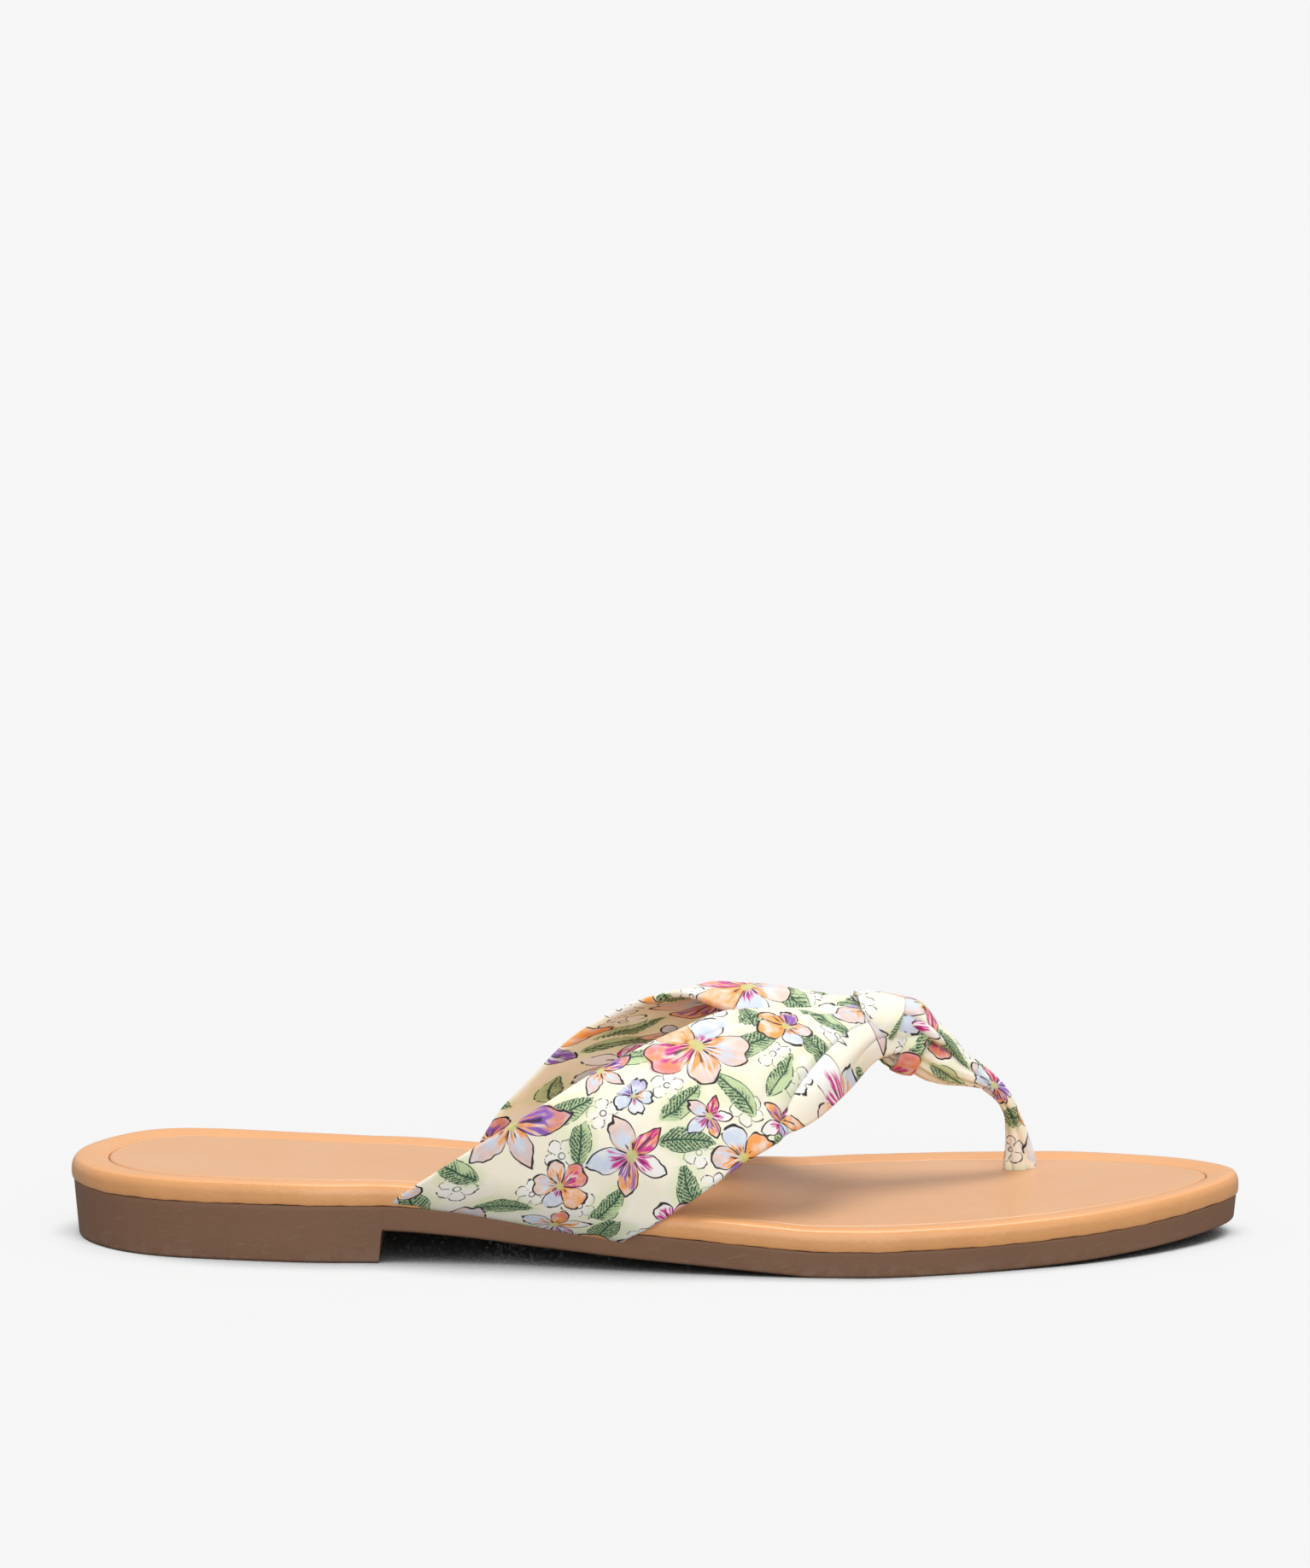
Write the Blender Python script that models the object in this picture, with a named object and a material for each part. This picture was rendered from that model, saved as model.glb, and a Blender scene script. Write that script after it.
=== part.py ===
"""A toe post sandal for the right foot: sole, padded footbed, sock and a knotted fabric strap.

The toe points along +X, the outer (little toe) side faces -Y, and the floor is z = 0. Every length
is in millimetres until a mesh is made. Shares in the tables are shares of the named size that
stands in the comment above them, and "along" is always the share of LENGTH from the heel.
"""
import math

import bmesh
import bpy
from mathutils import Vector

MM = 0.001

# The whole shoe, a women's size 37
LENGTH = 248.0
OVERALL_WIDTH = 87.2

# Outsole: one moulded unit with a low heel block
HEEL_LIFT = 6.9
TOE_SPRING = 4.4
HEEL_THICKNESS = 5.3
TOE_THICKNESS = 5.6
HEEL_BREAST = 0.270 * LENGTH
WALL_DRAFT = 0.075
SOLE_EDGE_ROUND = 0.8
BREAST_SLANT = 0.4

# Tread grooves in the underside
TREAD_DEPTH = 1.2
TREAD_WIDTH = 2.2
TREAD_PITCH = 8.0
TREAD_MARGIN = 7.0
HEEL_TREAD_START = 22.0
HEEL_TREAD_COUNT = 4
FRONT_TREAD_START = 146.0
FRONT_TREAD_COUNT = 9

# Footbed and sock
GAP = 0.3
FOOTBED_THICKNESS = 4.1
BEAD_RISE = 0.95
BEAD_WIDTH = 7.4
SOCK_THICKNESS = 1.4
SOCK_EDGE_ROUND = 0.35

# Strap: a fabric band over the instep, gathered at a knot, with a post between the toes
STRAP_WALL = 1.8
STRAP_RISE = 40.0
STRAP_EDGE_ROUND = 0.54
TAIL_DEPTH = 15.0
TAIL_BEND = 1.2
LATERAL_BASE_BACK = 0.279
LATERAL_BASE_FRONT = 0.470
MEDIAL_BASE_BACK = 0.342
MEDIAL_BASE_FRONT = 0.545
SINK_BACK = 0.3
SINK_FRONT = 2.6
LATERAL_LEAN = 1.3
MEDIAL_LEAN = 0.6
PLEAT_DEPTH = 2.4
PLEAT_ROOM = 26.0
KNOT_SIZE = 16.0
WRAP_THICKNESS = 2.2
WRAP_WIDTH = 8.5
POST_WIDTH = 6.4
POST_DEPTH = 4.6

STATIONS = 44
BREAST_CLEARANCE = 0.45
STRAP_COLUMNS = 16
STRAP_ROWS = 18
CUTTER_ROWS = 4
TUBE_SIDES = 16
TUBE_STEPS = 4
WRAP_SEGMENTS = 24
WRAP_SIDES = 8

# Outline. Shares of OVERALL_WIDTH: the centre line's distance from the axis, and the half width
# that the rounded ends are drawn from.
OUTLINE_COLUMNS = ("along", "centre", "half")
OUTLINE = (
    (0.000, 0.080, 0.338),
    (0.050, 0.090, 0.356),
    (0.112, 0.067, 0.343),
    (0.154, 0.042, 0.342),
    (0.214, 0.007, 0.334),
    (0.269, -0.013, 0.318),
    (0.327, -0.029, 0.319),
    (0.420, -0.048, 0.345),
    (0.486, -0.054, 0.379),
    (0.558, -0.051, 0.416),
    (0.640, -0.024, 0.468),
    (0.690, -0.010, 0.483),
    (0.740, 0.015, 0.477),
    (0.800, 0.042, 0.449),
    (0.850, 0.060, 0.412),
    (0.900, 0.071, 0.369),
    (0.950, 0.073, 0.321),
    (1.000, 0.062, 0.262),
)
HEEL_ROUND = 30.0
TOE_ROUND = 40.0

# Underside of the plate: share of HEEL_LIFT under the rear, share of TOE_SPRING under the toes.
PROFILE_COLUMNS = ("along", "heel", "spring")
PROFILE = (
    (0.000, 1.00, 0.00),
    (0.270, 1.00, 0.00),
    (0.340, 0.86, 0.00),
    (0.400, 0.65, 0.00),
    (0.480, 0.41, 0.00),
    (0.550, 0.23, 0.00),
    (0.600, 0.09, 0.00),
    (0.635, 0.00, 0.00),
    (0.730, 0.00, 0.00),
    (0.850, 0.00, 0.18),
    (0.920, 0.00, 0.47),
    (1.000, 0.00, 1.00),
)

# Section of the footbed's rim: distance in from the edge as a share of BEAD_WIDTH, height as a
# share of FOOTBED_THICKNESS, and the share of BEAD_RISE on top of that.
RIM_COLUMNS = ("inset", "height", "rise")
RIM = (
    (0.16, 0.00, 0.0),
    (0.06, 0.12, 0.0),
    (0.01, 0.40, 0.0),
    (0.00, 0.66, 0.0),
    (0.06, 0.93, 0.0),
    (0.20, 1.00, 0.65),
    (0.43, 1.00, 1.0),
    (0.70, 1.00, 0.70),
    (0.92, 1.00, 0.05),
    (1.00, 0.92, 0.0),
)

# Rows of the strap's tail, from its end under the footbed to the side of the sole: distance in from
# the sole's edge as shares of TAIL_DEPTH and of TAIL_BEND, and the rise as a share of TAIL_BEND.
TAIL_COLUMNS = ("depth", "bend", "rise")
TAIL = (
    (1.0, 0.00, 0.00),
    (0.5, 0.00, 0.00),
    (0.0, 2.17, 0.00),
    (0.0, 1.00, 0.25),
    (0.0, 0.35, 0.90),
    (0.0, 0.00, 2.20),
)

# Ribs of the strap, from the sole to the knot. "across" is a share of OVERALL_WIDTH, "up" a share
# of STRAP_RISE above the footbed, "bulge" a share of STRAP_RISE off the straight line between the
# two edges.
RIB_COLUMNS = (
    "run", "back_along", "back_across", "back_up", "front_along", "front_across", "front_up", "bulge"
)
LATERAL_RIBS = (
    (0.12, 0.312, -0.367, 0.065, 0.489, -0.450, -0.070, 0.01),
    (0.30, 0.389, -0.361, 0.407, 0.527, -0.447, 0.105, 0.03),
    (0.50, 0.462, -0.269, 0.696, 0.572, -0.390, 0.304, 0.07),
    (0.65, 0.517, -0.163, 0.852, 0.605, -0.321, 0.418, 0.10),
    (0.80, 0.574, -0.057, 0.960, 0.640, -0.229, 0.528, 0.13),
    (0.90, 0.622, 0.034, 0.953, 0.663, -0.115, 0.610, 0.12),
    (1.00, 0.667, 0.115, 0.940, 0.687, 0.030, 0.705, 0.07),
    (1.12, 0.700, 0.180, 0.940, 0.716, 0.095, 0.740, 0.03),
)
MEDIAL_RIBS = (
    (0.12, 0.360, 0.292, 0.153, 0.565, 0.400, 0.060, 0.01),
    (0.30, 0.394, 0.281, 0.407, 0.588, 0.408, 0.240, 0.03),
    (0.50, 0.440, 0.262, 0.700, 0.612, 0.395, 0.420, 0.07),
    (0.65, 0.500, 0.203, 0.935, 0.632, 0.365, 0.560, 0.12),
    (0.80, 0.565, 0.090, 0.925, 0.652, 0.320, 0.660, 0.22),
    (0.90, 0.622, 0.092, 0.900, 0.668, 0.278, 0.720, 0.19),
    (1.00, 0.667, 0.126, 0.895, 0.684, 0.235, 0.760, 0.12),
    (1.12, 0.700, 0.160, 0.930, 0.716, 0.240, 0.740, 0.03),
)

# Pleats gathered into the knot: the fold's place across the band at the knot and where it runs
# out, the run at which it starts, its width across the band and its depth, a share of PLEAT_DEPTH.
PLEAT_COLUMNS = ("at_knot", "at_start", "start", "width", "depth")
LATERAL_PLEATS = (
    (0.40, 0.80, 0.70, 0.13, 1.00),
    (0.10, 0.22, 0.82, 0.10, 0.30),
)
MEDIAL_PLEATS = (
    (0.38, 0.52, 0.72, 0.12, 0.60),
    (0.72, 0.80, 0.76, 0.12, 0.50),
)

# Knot and post. "across" and "up" as above; "tall" is the half height of the section and "wide"
# its half depth, both shares of KNOT_SIZE.
TUBE_COLUMNS = ("along", "across", "up", "tall", "wide")
CORE = (
    (0.668, 0.150, 0.850, 0.20, 0.26),
    (0.690, 0.165, 0.850, 0.37, 0.46),
    (0.708, 0.172, 0.830, 0.39, 0.48),
    (0.722, 0.178, 0.800, 0.34, 0.44),
    (0.735, 0.184, 0.760, 0.22, 0.34),
)
UPPER_STRAND = (
    (0.700, 0.172, 0.925, 0.19, 0.42),
    (0.720, 0.181, 0.895, 0.19, 0.42),
    (0.734, 0.192, 0.815, 0.17, 0.38),
    (0.750, 0.204, 0.728, 0.14, 0.33),
    (0.766, 0.216, 0.625, 0.11, 0.28),
    (0.783, 0.227, 0.535, 0.10, 0.26),
)
LOWER_STRAND = (
    (0.706, 0.166, 0.700, 0.24, 0.36),
    (0.720, 0.173, 0.690, 0.26, 0.40),
    (0.740, 0.186, 0.625, 0.27, 0.40),
    (0.755, 0.201, 0.575, 0.21, 0.35),
    (0.768, 0.212, 0.545, 0.16, 0.30),
    (0.783, 0.227, 0.505, 0.11, 0.26),
)

# The band round the gathers: its centre, its half height and half depth as shares of KNOT_SIZE,
# the direction that it is threaded on, and how much of WRAP_WIDTH it loses half way down.
WRAP_CENTRE = (0.692, 0.168, 0.85)
WRAP_TALL = 0.41
WRAP_WIDE = 0.53
WRAP_AXIS = (0.95, 0.10, -0.28)
WRAP_TAPER = 0.22

# Toe post: "tall" is a share of POST_WIDTH and "wide" of POST_DEPTH, both halves of the section.
POST = (
    (0.774, 0.220, 0.575, 0.34, 0.90),
    (0.789, 0.231, 0.492, 0.33, 0.88),
    (0.799, 0.243, 0.420, 0.29, 0.82),
    (0.807, 0.255, 0.327, 0.25, 0.74),
    (0.812, 0.264, 0.225, 0.33, 0.64),
    (0.815, 0.271, 0.123, 0.43, 0.56),
    (0.816, 0.275, 0.030, 0.50, 0.50),
)

FINISHES = {
    "outsole": ((0.135, 0.085, 0.060), 0.75),
    "footbed": ((0.620, 0.300, 0.120), 0.45),
    "insole_sock": ((0.600, 0.290, 0.115), 0.50),
    "upper": ((0.860, 0.800, 0.680), 0.70),
}


def column(table, columns, name):
    """One column of a table as a list."""
    place = columns.index(name)
    return [row[place] for row in table]


def curve_through(knots, values, at):
    """A smooth curve through the points (knots, values), flat where the values turn back."""
    last = len(knots) - 1
    if at <= knots[0]:
        return values[0]
    if at >= knots[last]:
        return values[last]
    spans = [knots[i + 1] - knots[i] for i in range(last)]
    slopes = [(values[i + 1] - values[i]) / spans[i] for i in range(last)]
    tangents = [slopes[0]]
    for i in range(1, last):
        before, after = slopes[i - 1], slopes[i]
        mean = (spans[i] * before + spans[i - 1] * after) / (spans[i - 1] + spans[i])
        limit = 3 * min(abs(before), abs(after))
        turns_back = before * after <= 0
        tangents.append(0.0 if turns_back else max(-limit, min(limit, mean)))
    tangents.append(slopes[-1])
    i = max(k for k in range(last) if knots[k] <= at)
    t = (at - knots[i]) / spans[i]
    return (
        values[i] * (1 + 2 * t) * (1 - t) ** 2
        + spans[i] * tangents[i] * t * (1 - t) ** 2
        + values[i + 1] * t * t * (3 - 2 * t)
        + spans[i] * tangents[i + 1] * t * t * (t - 1)
    )


def look_up(table, columns, name, at, by="along"):
    """The value of one column where the column named by reaches at."""
    return curve_through(column(table, columns, by), column(table, columns, name), at)


def x_at(along):
    return (along - 0.5) * LENGTH


def along_at(x):
    return x / LENGTH + 0.5


def end_round(along):
    """Quarter-ellipse factor that closes the outline at heel and toe."""
    from_heel = max(0.0, min(1.0, along * LENGTH / HEEL_ROUND))
    from_toe = max(0.0, min(1.0, (1.0 - along) * LENGTH / TOE_ROUND))
    return math.sqrt(1.0 - (1.0 - from_heel) ** 2) * math.sqrt(1.0 - (1.0 - from_toe) ** 2)


def edge_y(along, side):
    """Distance of the sole's edge from the axis; side is +1 inner (medial), -1 outer (lateral)."""
    centre = look_up(OUTLINE, OUTLINE_COLUMNS, "centre", along)
    half = look_up(OUTLINE, OUTLINE_COLUMNS, "half", along)
    return OVERALL_WIDTH * (centre + side * half * end_round(along))


def edge_point(turn, side, inset):
    """A point of the outline moved inwards; turn runs from 0 at the heel to pi at the toe."""
    step = 0.002

    def outline(angle):
        along = 0.5 - 0.5 * math.cos(angle)
        return Vector((x_at(along), edge_y(along, side if 0 <= angle <= math.pi else -side)))

    tangent = (outline(turn + step) - outline(turn - step)).normalized()
    inward = Vector((tangent.y, -tangent.x)) * side
    return outline(turn) + inward * inset


def turn_at(along):
    return math.acos(max(-1.0, min(1.0, 1.0 - 2.0 * along)))


def plate_underside(along):
    heel = look_up(PROFILE, PROFILE_COLUMNS, "heel", along)
    spring = look_up(PROFILE, PROFILE_COLUMNS, "spring", along)
    return HEEL_LIFT * heel + TOE_SPRING * spring


def outsole_top(along):
    along = max(0.0, min(1.0, along))
    return plate_underside(along) + HEEL_THICKNESS + (TOE_THICKNESS - HEEL_THICKNESS) * along


def footbed_top(along):
    return outsole_top(along) + FOOTBED_THICKNESS


def sole_turns():
    """Angles of the stations from heel to toe, with a close pair at the heel breast."""
    turns = [math.pi * j / STATIONS for j in range(STATIONS + 1)]
    breast = turn_at(HEEL_BREAST / LENGTH)
    before = turn_at((HEEL_BREAST - BREAST_SLANT) / LENGTH)
    clear = BREAST_CLEARANCE * math.pi / STATIONS
    kept = [turn for turn in turns if abs(turn - breast) > clear]
    return sorted(kept + [before, breast])


def outline_ring(inset_at, height_at):
    """A closed ring round the sole: heel tip, inner side, toe tip, outer side."""
    turns = sole_turns()
    places = [(turn, 1) for turn in turns] + [(turn, -1) for turn in turns[-2:0:-1]]
    ring = []
    for turn, side in places:
        along = 0.5 - 0.5 * math.cos(turn)
        point = edge_point(turn, side, inset_at(along))
        ring.append(Vector((point.x, point.y, height_at(along, point.x))))
    return ring


def loft(name, rings, closed=False):
    """A closed solid through rings of equal length; caps join point i to point n - i.

    Its faces are cut into flat triangles, because unions of bent four-sided faces are unreliable.
    """
    bm = bmesh.new()
    rows = [[bm.verts.new(point * MM) for point in ring] for ring in rings]
    count = len(rows[0])
    pairs = list(zip(rows, rows[1:]))
    if closed:
        pairs.append((rows[-1], rows[0]))
    for low, high in pairs:
        for i in range(count):
            k = (i + 1) % count
            bm.faces.new((low[i], low[k], high[k], high[i]))
    if not closed:
        for row in (rows[0], rows[-1]):
            bm.faces.new((row[0], row[1], row[count - 1]))
            for i in range(1, count // 2 - 1):
                bm.faces.new((row[i], row[i + 1], row[count - i - 1], row[count - i]))
            middle = count // 2
            bm.faces.new((row[middle - 1], row[middle], row[middle + 1]))
    bmesh.ops.triangulate(bm, faces=bm.faces)
    bmesh.ops.recalc_face_normals(bm, faces=bm.faces)
    mesh = bpy.data.meshes.new(name)
    bm.to_mesh(mesh)
    bm.free()
    obj = bpy.data.objects.new(name, mesh)
    bpy.context.scene.collection.objects.link(obj)
    return obj


def combine(target, tool, operation):
    """Boolean of two solids, kept as a plain mesh; the tool is used up."""
    modifier = target.modifiers.new("Combine", "BOOLEAN")
    modifier.operation = operation
    modifier.solver = "EXACT"
    modifier.object = tool
    depsgraph = bpy.context.evaluated_depsgraph_get()
    mesh = bpy.data.meshes.new_from_object(target.evaluated_get(depsgraph))
    target.modifiers.clear()
    target.data = mesh
    bpy.data.objects.remove(tool)
    return target


def finish(obj):
    """The part's own plain material."""
    colour, roughness = FINISHES[obj.name]
    material = bpy.data.materials.new(obj.name)
    material.use_nodes = True
    shader = material.node_tree.nodes["Principled BSDF"]
    shader.inputs["Base Color"].default_value = (*colour, 1.0)
    shader.inputs["Roughness"].default_value = roughness
    obj.data.materials.clear()
    obj.data.materials.append(material)
    return obj


def box(name, low, high):
    around = ((low[1], low[2]), (high[1], low[2]), (high[1], high[2]), (low[1], high[2]))
    return loft(name, [[Vector((x, y, z)) for y, z in around] for x in (low[0], high[0])])


def make_outsole():
    """Plate and heel block in one: walls with draft, a rounded bottom edge, a square breast."""
    def bottom(along):
        behind = along * LENGTH < HEEL_BREAST - 0.5 * BREAST_SLANT
        return 0.0 if behind else plate_underside(along)

    def draft(along):
        return WALL_DRAFT * (outsole_top(along) - bottom(along))

    rings = [
        outline_ring(lambda a: draft(a) + SOLE_EDGE_ROUND, lambda a, x: bottom(a)),
        outline_ring(draft, lambda a, x: bottom(a) + SOLE_EDGE_ROUND),
        outline_ring(lambda a: 0.0, lambda a, x: outsole_top(a) - GAP),
        outline_ring(lambda a: GAP, lambda a, x: outsole_top(a)),
    ]
    return loft("outsole", rings)


def tread_grooves():
    """Boxes across the underside of heel and forefoot, clear of the side walls."""
    starts = [HEEL_TREAD_START + k * TREAD_PITCH for k in range(HEEL_TREAD_COUNT)]
    starts += [FRONT_TREAD_START + k * TREAD_PITCH for k in range(FRONT_TREAD_COUNT)]
    grooves = []
    for start in starts:
        along = start / LENGTH
        under = 0.0 if start < HEEL_BREAST else plate_underside(along)
        x = x_at(along)
        low = (x, edge_y(along, -1) + TREAD_MARGIN, under - TREAD_DEPTH)
        high = (x + TREAD_WIDTH, edge_y(along, 1) - TREAD_MARGIN, under + TREAD_DEPTH)
        grooves.append(box("groove", low, high))
    return grooves


def make_footbed():
    """The wrapped footbed: side wall, raised bead and a flat recess for the sock."""
    rings = []
    for inset, height, rise in RIM:
        def height_at(along, x, height=height, rise=rise):
            low = outsole_top(along_at(x)) + GAP
            lift = height * (FOOTBED_THICKNESS - GAP) + rise * BEAD_RISE
            return low + lift

        rings.append(outline_ring(lambda a, inset=inset: inset * BEAD_WIDTH, height_at))
    floor_inset = BEAD_WIDTH + 0.5 * GAP
    rings.append(outline_ring(
        lambda a: floor_inset,
        lambda a, x: footbed_top(along_at(x)) - SOCK_THICKNESS - GAP,
    ))
    return loft("footbed", rings)


def make_sock():
    """The flat sock panel, lying in the footbed's recess."""
    inset = BEAD_WIDTH + 1.5 * GAP
    rings = [
        outline_ring(lambda a: inset, lambda a, x: footbed_top(along_at(x)) - SOCK_THICKNESS),
        outline_ring(lambda a: inset, lambda a, x: footbed_top(along_at(x)) - SOCK_EDGE_ROUND),
        outline_ring(lambda a: inset + SOCK_EDGE_ROUND, lambda a, x: footbed_top(along_at(x))),
    ]
    return loft("insole_sock", rings)


def tail_rows(side, base_back, base_front, lean, margin):
    """Rows of the strap's tail: under the footbed, round the bend and up the side of the sole."""
    rows = []
    base = (base_front - base_back) * LENGTH
    for depth, bend, rise_share in TAIL:
        inset = depth * TAIL_DEPTH + bend * TAIL_BEND
        rise = rise_share * TAIL_BEND
        row = []
        for k in range(STRAP_COLUMNS + 1):
            share = -margin / base + (1 + 2 * margin / base) * k / STRAP_COLUMNS
            along = base_back + share * (base_front - base_back)
            sink = SINK_BACK + (SINK_FRONT - SINK_BACK) * share - 0.5 * STRAP_WALL
            point = edge_point(turn_at(along + lean * rise / LENGTH), side, inset)
            row.append(Vector((point.x, point.y, outsole_top(along) - sink + rise)))
        rows.append(row)
    return rows


def rib_row(table, run, pleats, margin=0.0):
    """Points across the band at one run, with its bulge and pleats."""
    def edge(name, at):
        along = look_up(table, RIB_COLUMNS, name + "_along", at, "run")
        across = look_up(table, RIB_COLUMNS, name + "_across", at, "run")
        up = look_up(table, RIB_COLUMNS, name + "_up", at, "run")
        return Vector((x_at(along), across * OVERALL_WIDTH, footbed_top(along) + up * STRAP_RISE))

    back = edge("back", run)
    front = edge("front", run)
    middle = 0.5 * (back + front)
    ahead = 0.5 * (edge("back", run + 0.02) + edge("front", run + 0.02))
    behind = 0.5 * (edge("back", run - 0.02) + edge("front", run - 0.02))
    outward = (front - back).cross(ahead - behind).normalized()
    inside = Vector((middle.x, 0.1 * OVERALL_WIDTH, footbed_top(along_at(middle.x))))
    if outward.dot(middle - inside) < 0:
        outward.negate()
    bulge = look_up(table, RIB_COLUMNS, "bulge", run, "run") * STRAP_RISE
    width = (front - back).length
    room = min(1.0, width / PLEAT_ROOM) ** 2
    row = []
    for k in range(STRAP_COLUMNS + 1):
        share = -margin / width + (1 + 2 * margin / width) * k / STRAP_COLUMNS
        lift = bulge * 4 * share * (1 - share)
        for pleat in pleats:
            fold = dict(zip(PLEAT_COLUMNS, pleat))
            grown = max(0.0, min(1.0, (run - fold["start"]) / (1.0 - fold["start"])))
            place = fold["at_start"] + (fold["at_knot"] - fold["at_start"]) * grown
            valley = math.exp(-(((share - place) / fold["width"]) ** 2))
            lift -= fold["depth"] * PLEAT_DEPTH * room * grown ** 0.7 * valley
        row.append(back + (front - back) * share + outward * lift)
    return row


def sheet_rings(rows, wall):
    """Closed sections of a sheet of even thickness round a grid of middle points."""
    rings = []
    last = len(rows) - 1
    for j, row in enumerate(rows):
        before = rows[max(j - 1, 0)]
        after = rows[min(j + 1, last)]
        outer = []
        inner = []
        for k, point in enumerate(row):
            across = row[min(k + 1, len(row) - 1)] - row[max(k - 1, 0)]
            normal = (after[k] - before[k]).cross(across).normalized() * 0.5 * wall
            outer.append(point + normal)
            inner.append(point - normal)
        start = row[0] + (row[0] - row[1]).normalized() * STRAP_EDGE_ROUND
        end = row[-1] + (row[-1] - row[-2]).normalized() * STRAP_EDGE_ROUND
        rings.append([start] + outer + [end] + inner[::-1])
    return rings


def strap_leg(name, side, table, pleats, base_back, base_front, lean):
    """One leg of the band, from the end of its tail to the inside of the knot."""
    rows = tail_rows(side, base_back, base_front, lean, 0.0)
    first = table[0][0]
    last = table[-1][0]
    for k in range(STRAP_ROWS + 1):
        rows.append(rib_row(table, first + (last - first) * k / STRAP_ROWS, pleats))
    return loft(name, sheet_rings(rows, STRAP_WALL))


def tail_cutter(name, side, table, base_back, base_front, lean):
    """The room that a tail needs between the outsole and the footbed."""
    rows = tail_rows(side, base_back, base_front, lean, GAP)
    rows[0] = [end + (end - before).normalized() * GAP for end, before in zip(*rows[:2])]
    first = table[0][0]
    second = table[1][0]
    for k in range(CUTTER_ROWS + 1):
        rows.append(rib_row(table, first + (second - first) * k / CUTTER_ROWS, (), GAP))
    return loft(name, sheet_rings(rows, STRAP_WALL + 2 * GAP))


def tube_points(table, tall_size, wide_size):
    """Centre points and section sizes along a tube, smoothed between the table's rows."""
    count = (len(table) - 1) * TUBE_STEPS
    places = [float(i) for i in range(len(table))]
    points = []
    for k in range(count + 1):
        at = k / TUBE_STEPS
        values = [
            curve_through(places, column(table, TUBE_COLUMNS, name), at) for name in TUBE_COLUMNS
        ]
        along, across, up, tall, wide = values
        centre = Vector((x_at(along), across * OVERALL_WIDTH, footbed_top(along) + up * STRAP_RISE))
        points.append((centre, tall * tall_size, wide * wide_size))
    return points


def tube(name, points, grow=0.0, ridges=0, ridge=0.0):
    """A tube of oval sections; tall lies in the plane of the path, wide across it."""
    rings = []
    last = len(points) - 1
    for j, (centre, tall, wide) in enumerate(points):
        run = (points[min(j + 1, last)][0] - points[max(j - 1, 0)][0]).normalized()
        sideways = Vector((0.0, 1.0, 0.0))
        sideways = (sideways - run * sideways.dot(run)).normalized()
        upward = run.cross(sideways)
        ring = []
        for k in range(TUBE_SIDES):
            angle = 2 * math.pi * k / TUBE_SIDES
            fold = 1.0 + ridge * math.cos(ridges * angle)
            ring.append(
                centre
                + sideways * ((wide + grow) * fold * math.cos(angle))
                + upward * ((tall + grow) * fold * math.sin(angle))
            )
        rings.append(ring)
    return loft(name, rings)


def post_foot(depth_below):
    """The post's last stretch, carried straight down through sock and footbed."""
    foot, tall, wide = tube_points(POST, POST_WIDTH, POST_DEPTH)[-1]
    return [(Vector((foot.x, foot.y, foot.z - drop)), tall, wide) for drop in (0.0, depth_below)]


def wrap_ring():
    """The band that goes round the gathered strap: wide on top, narrow below."""
    along, across, up = WRAP_CENTRE
    centre = Vector((x_at(along), across * OVERALL_WIDTH, footbed_top(along) + up * STRAP_RISE))
    axis = Vector(WRAP_AXIS).normalized()
    sideways = (Vector((0.0, 1.0, 0.0)) - axis * axis.y).normalized()
    upward = axis.cross(sideways)
    rings = []
    for j in range(WRAP_SEGMENTS):
        angle = 2 * math.pi * j / WRAP_SEGMENTS
        radial = sideways * math.cos(angle) + upward * math.sin(angle)
        reach = sideways * (WRAP_WIDE * math.cos(angle)) + upward * (WRAP_TALL * math.sin(angle))
        width = WRAP_WIDTH * (1.0 - WRAP_TAPER * (1.0 - math.sin(angle)))
        ring = []
        for k in range(WRAP_SIDES):
            around = 2 * math.pi * k / WRAP_SIDES
            ring.append(
                centre
                + reach * KNOT_SIZE
                + axis * (0.5 * width * math.cos(around))
                + radial * (0.5 * WRAP_THICKNESS * math.sin(around))
            )
        rings.append(ring)
    return loft("wrap", rings, closed=True)


def make_upper():
    """Both legs, the knot and the toe post, joined where they cross."""
    upper = strap_leg(
        "upper", -1, LATERAL_RIBS, LATERAL_PLEATS, LATERAL_BASE_BACK, LATERAL_BASE_FRONT, LATERAL_LEAN
    )
    inner_leg = strap_leg(
        "inner_leg", 1, MEDIAL_RIBS, MEDIAL_PLEATS, MEDIAL_BASE_BACK, MEDIAL_BASE_FRONT, MEDIAL_LEAN
    )
    combine(upper, inner_leg, "UNION")
    combine(upper, tube("core", tube_points(CORE, KNOT_SIZE, KNOT_SIZE)), "UNION")
    combine(upper, wrap_ring(), "UNION")
    combine(upper, tube("strand", tube_points(UPPER_STRAND, KNOT_SIZE, KNOT_SIZE)), "UNION")
    combine(upper, tube("bundle", tube_points(LOWER_STRAND, KNOT_SIZE, KNOT_SIZE), 0, 5, 0.05), "UNION")
    post = tube_points(POST, POST_WIDTH, POST_DEPTH) + post_foot(post_height() - GAP)[1:]
    combine(upper, tube("post", post), "UNION")
    return upper


def post_height():
    """How far the post's last named section stands above the outsole."""
    return FOOTBED_THICKNESS + POST[-1][TUBE_COLUMNS.index("up")] * STRAP_RISE


def post_cutter():
    """The slot for the post, through the sock and the footbed."""
    return tube("slot", post_foot(post_height() + FOOTBED_THICKNESS), GAP)


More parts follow.
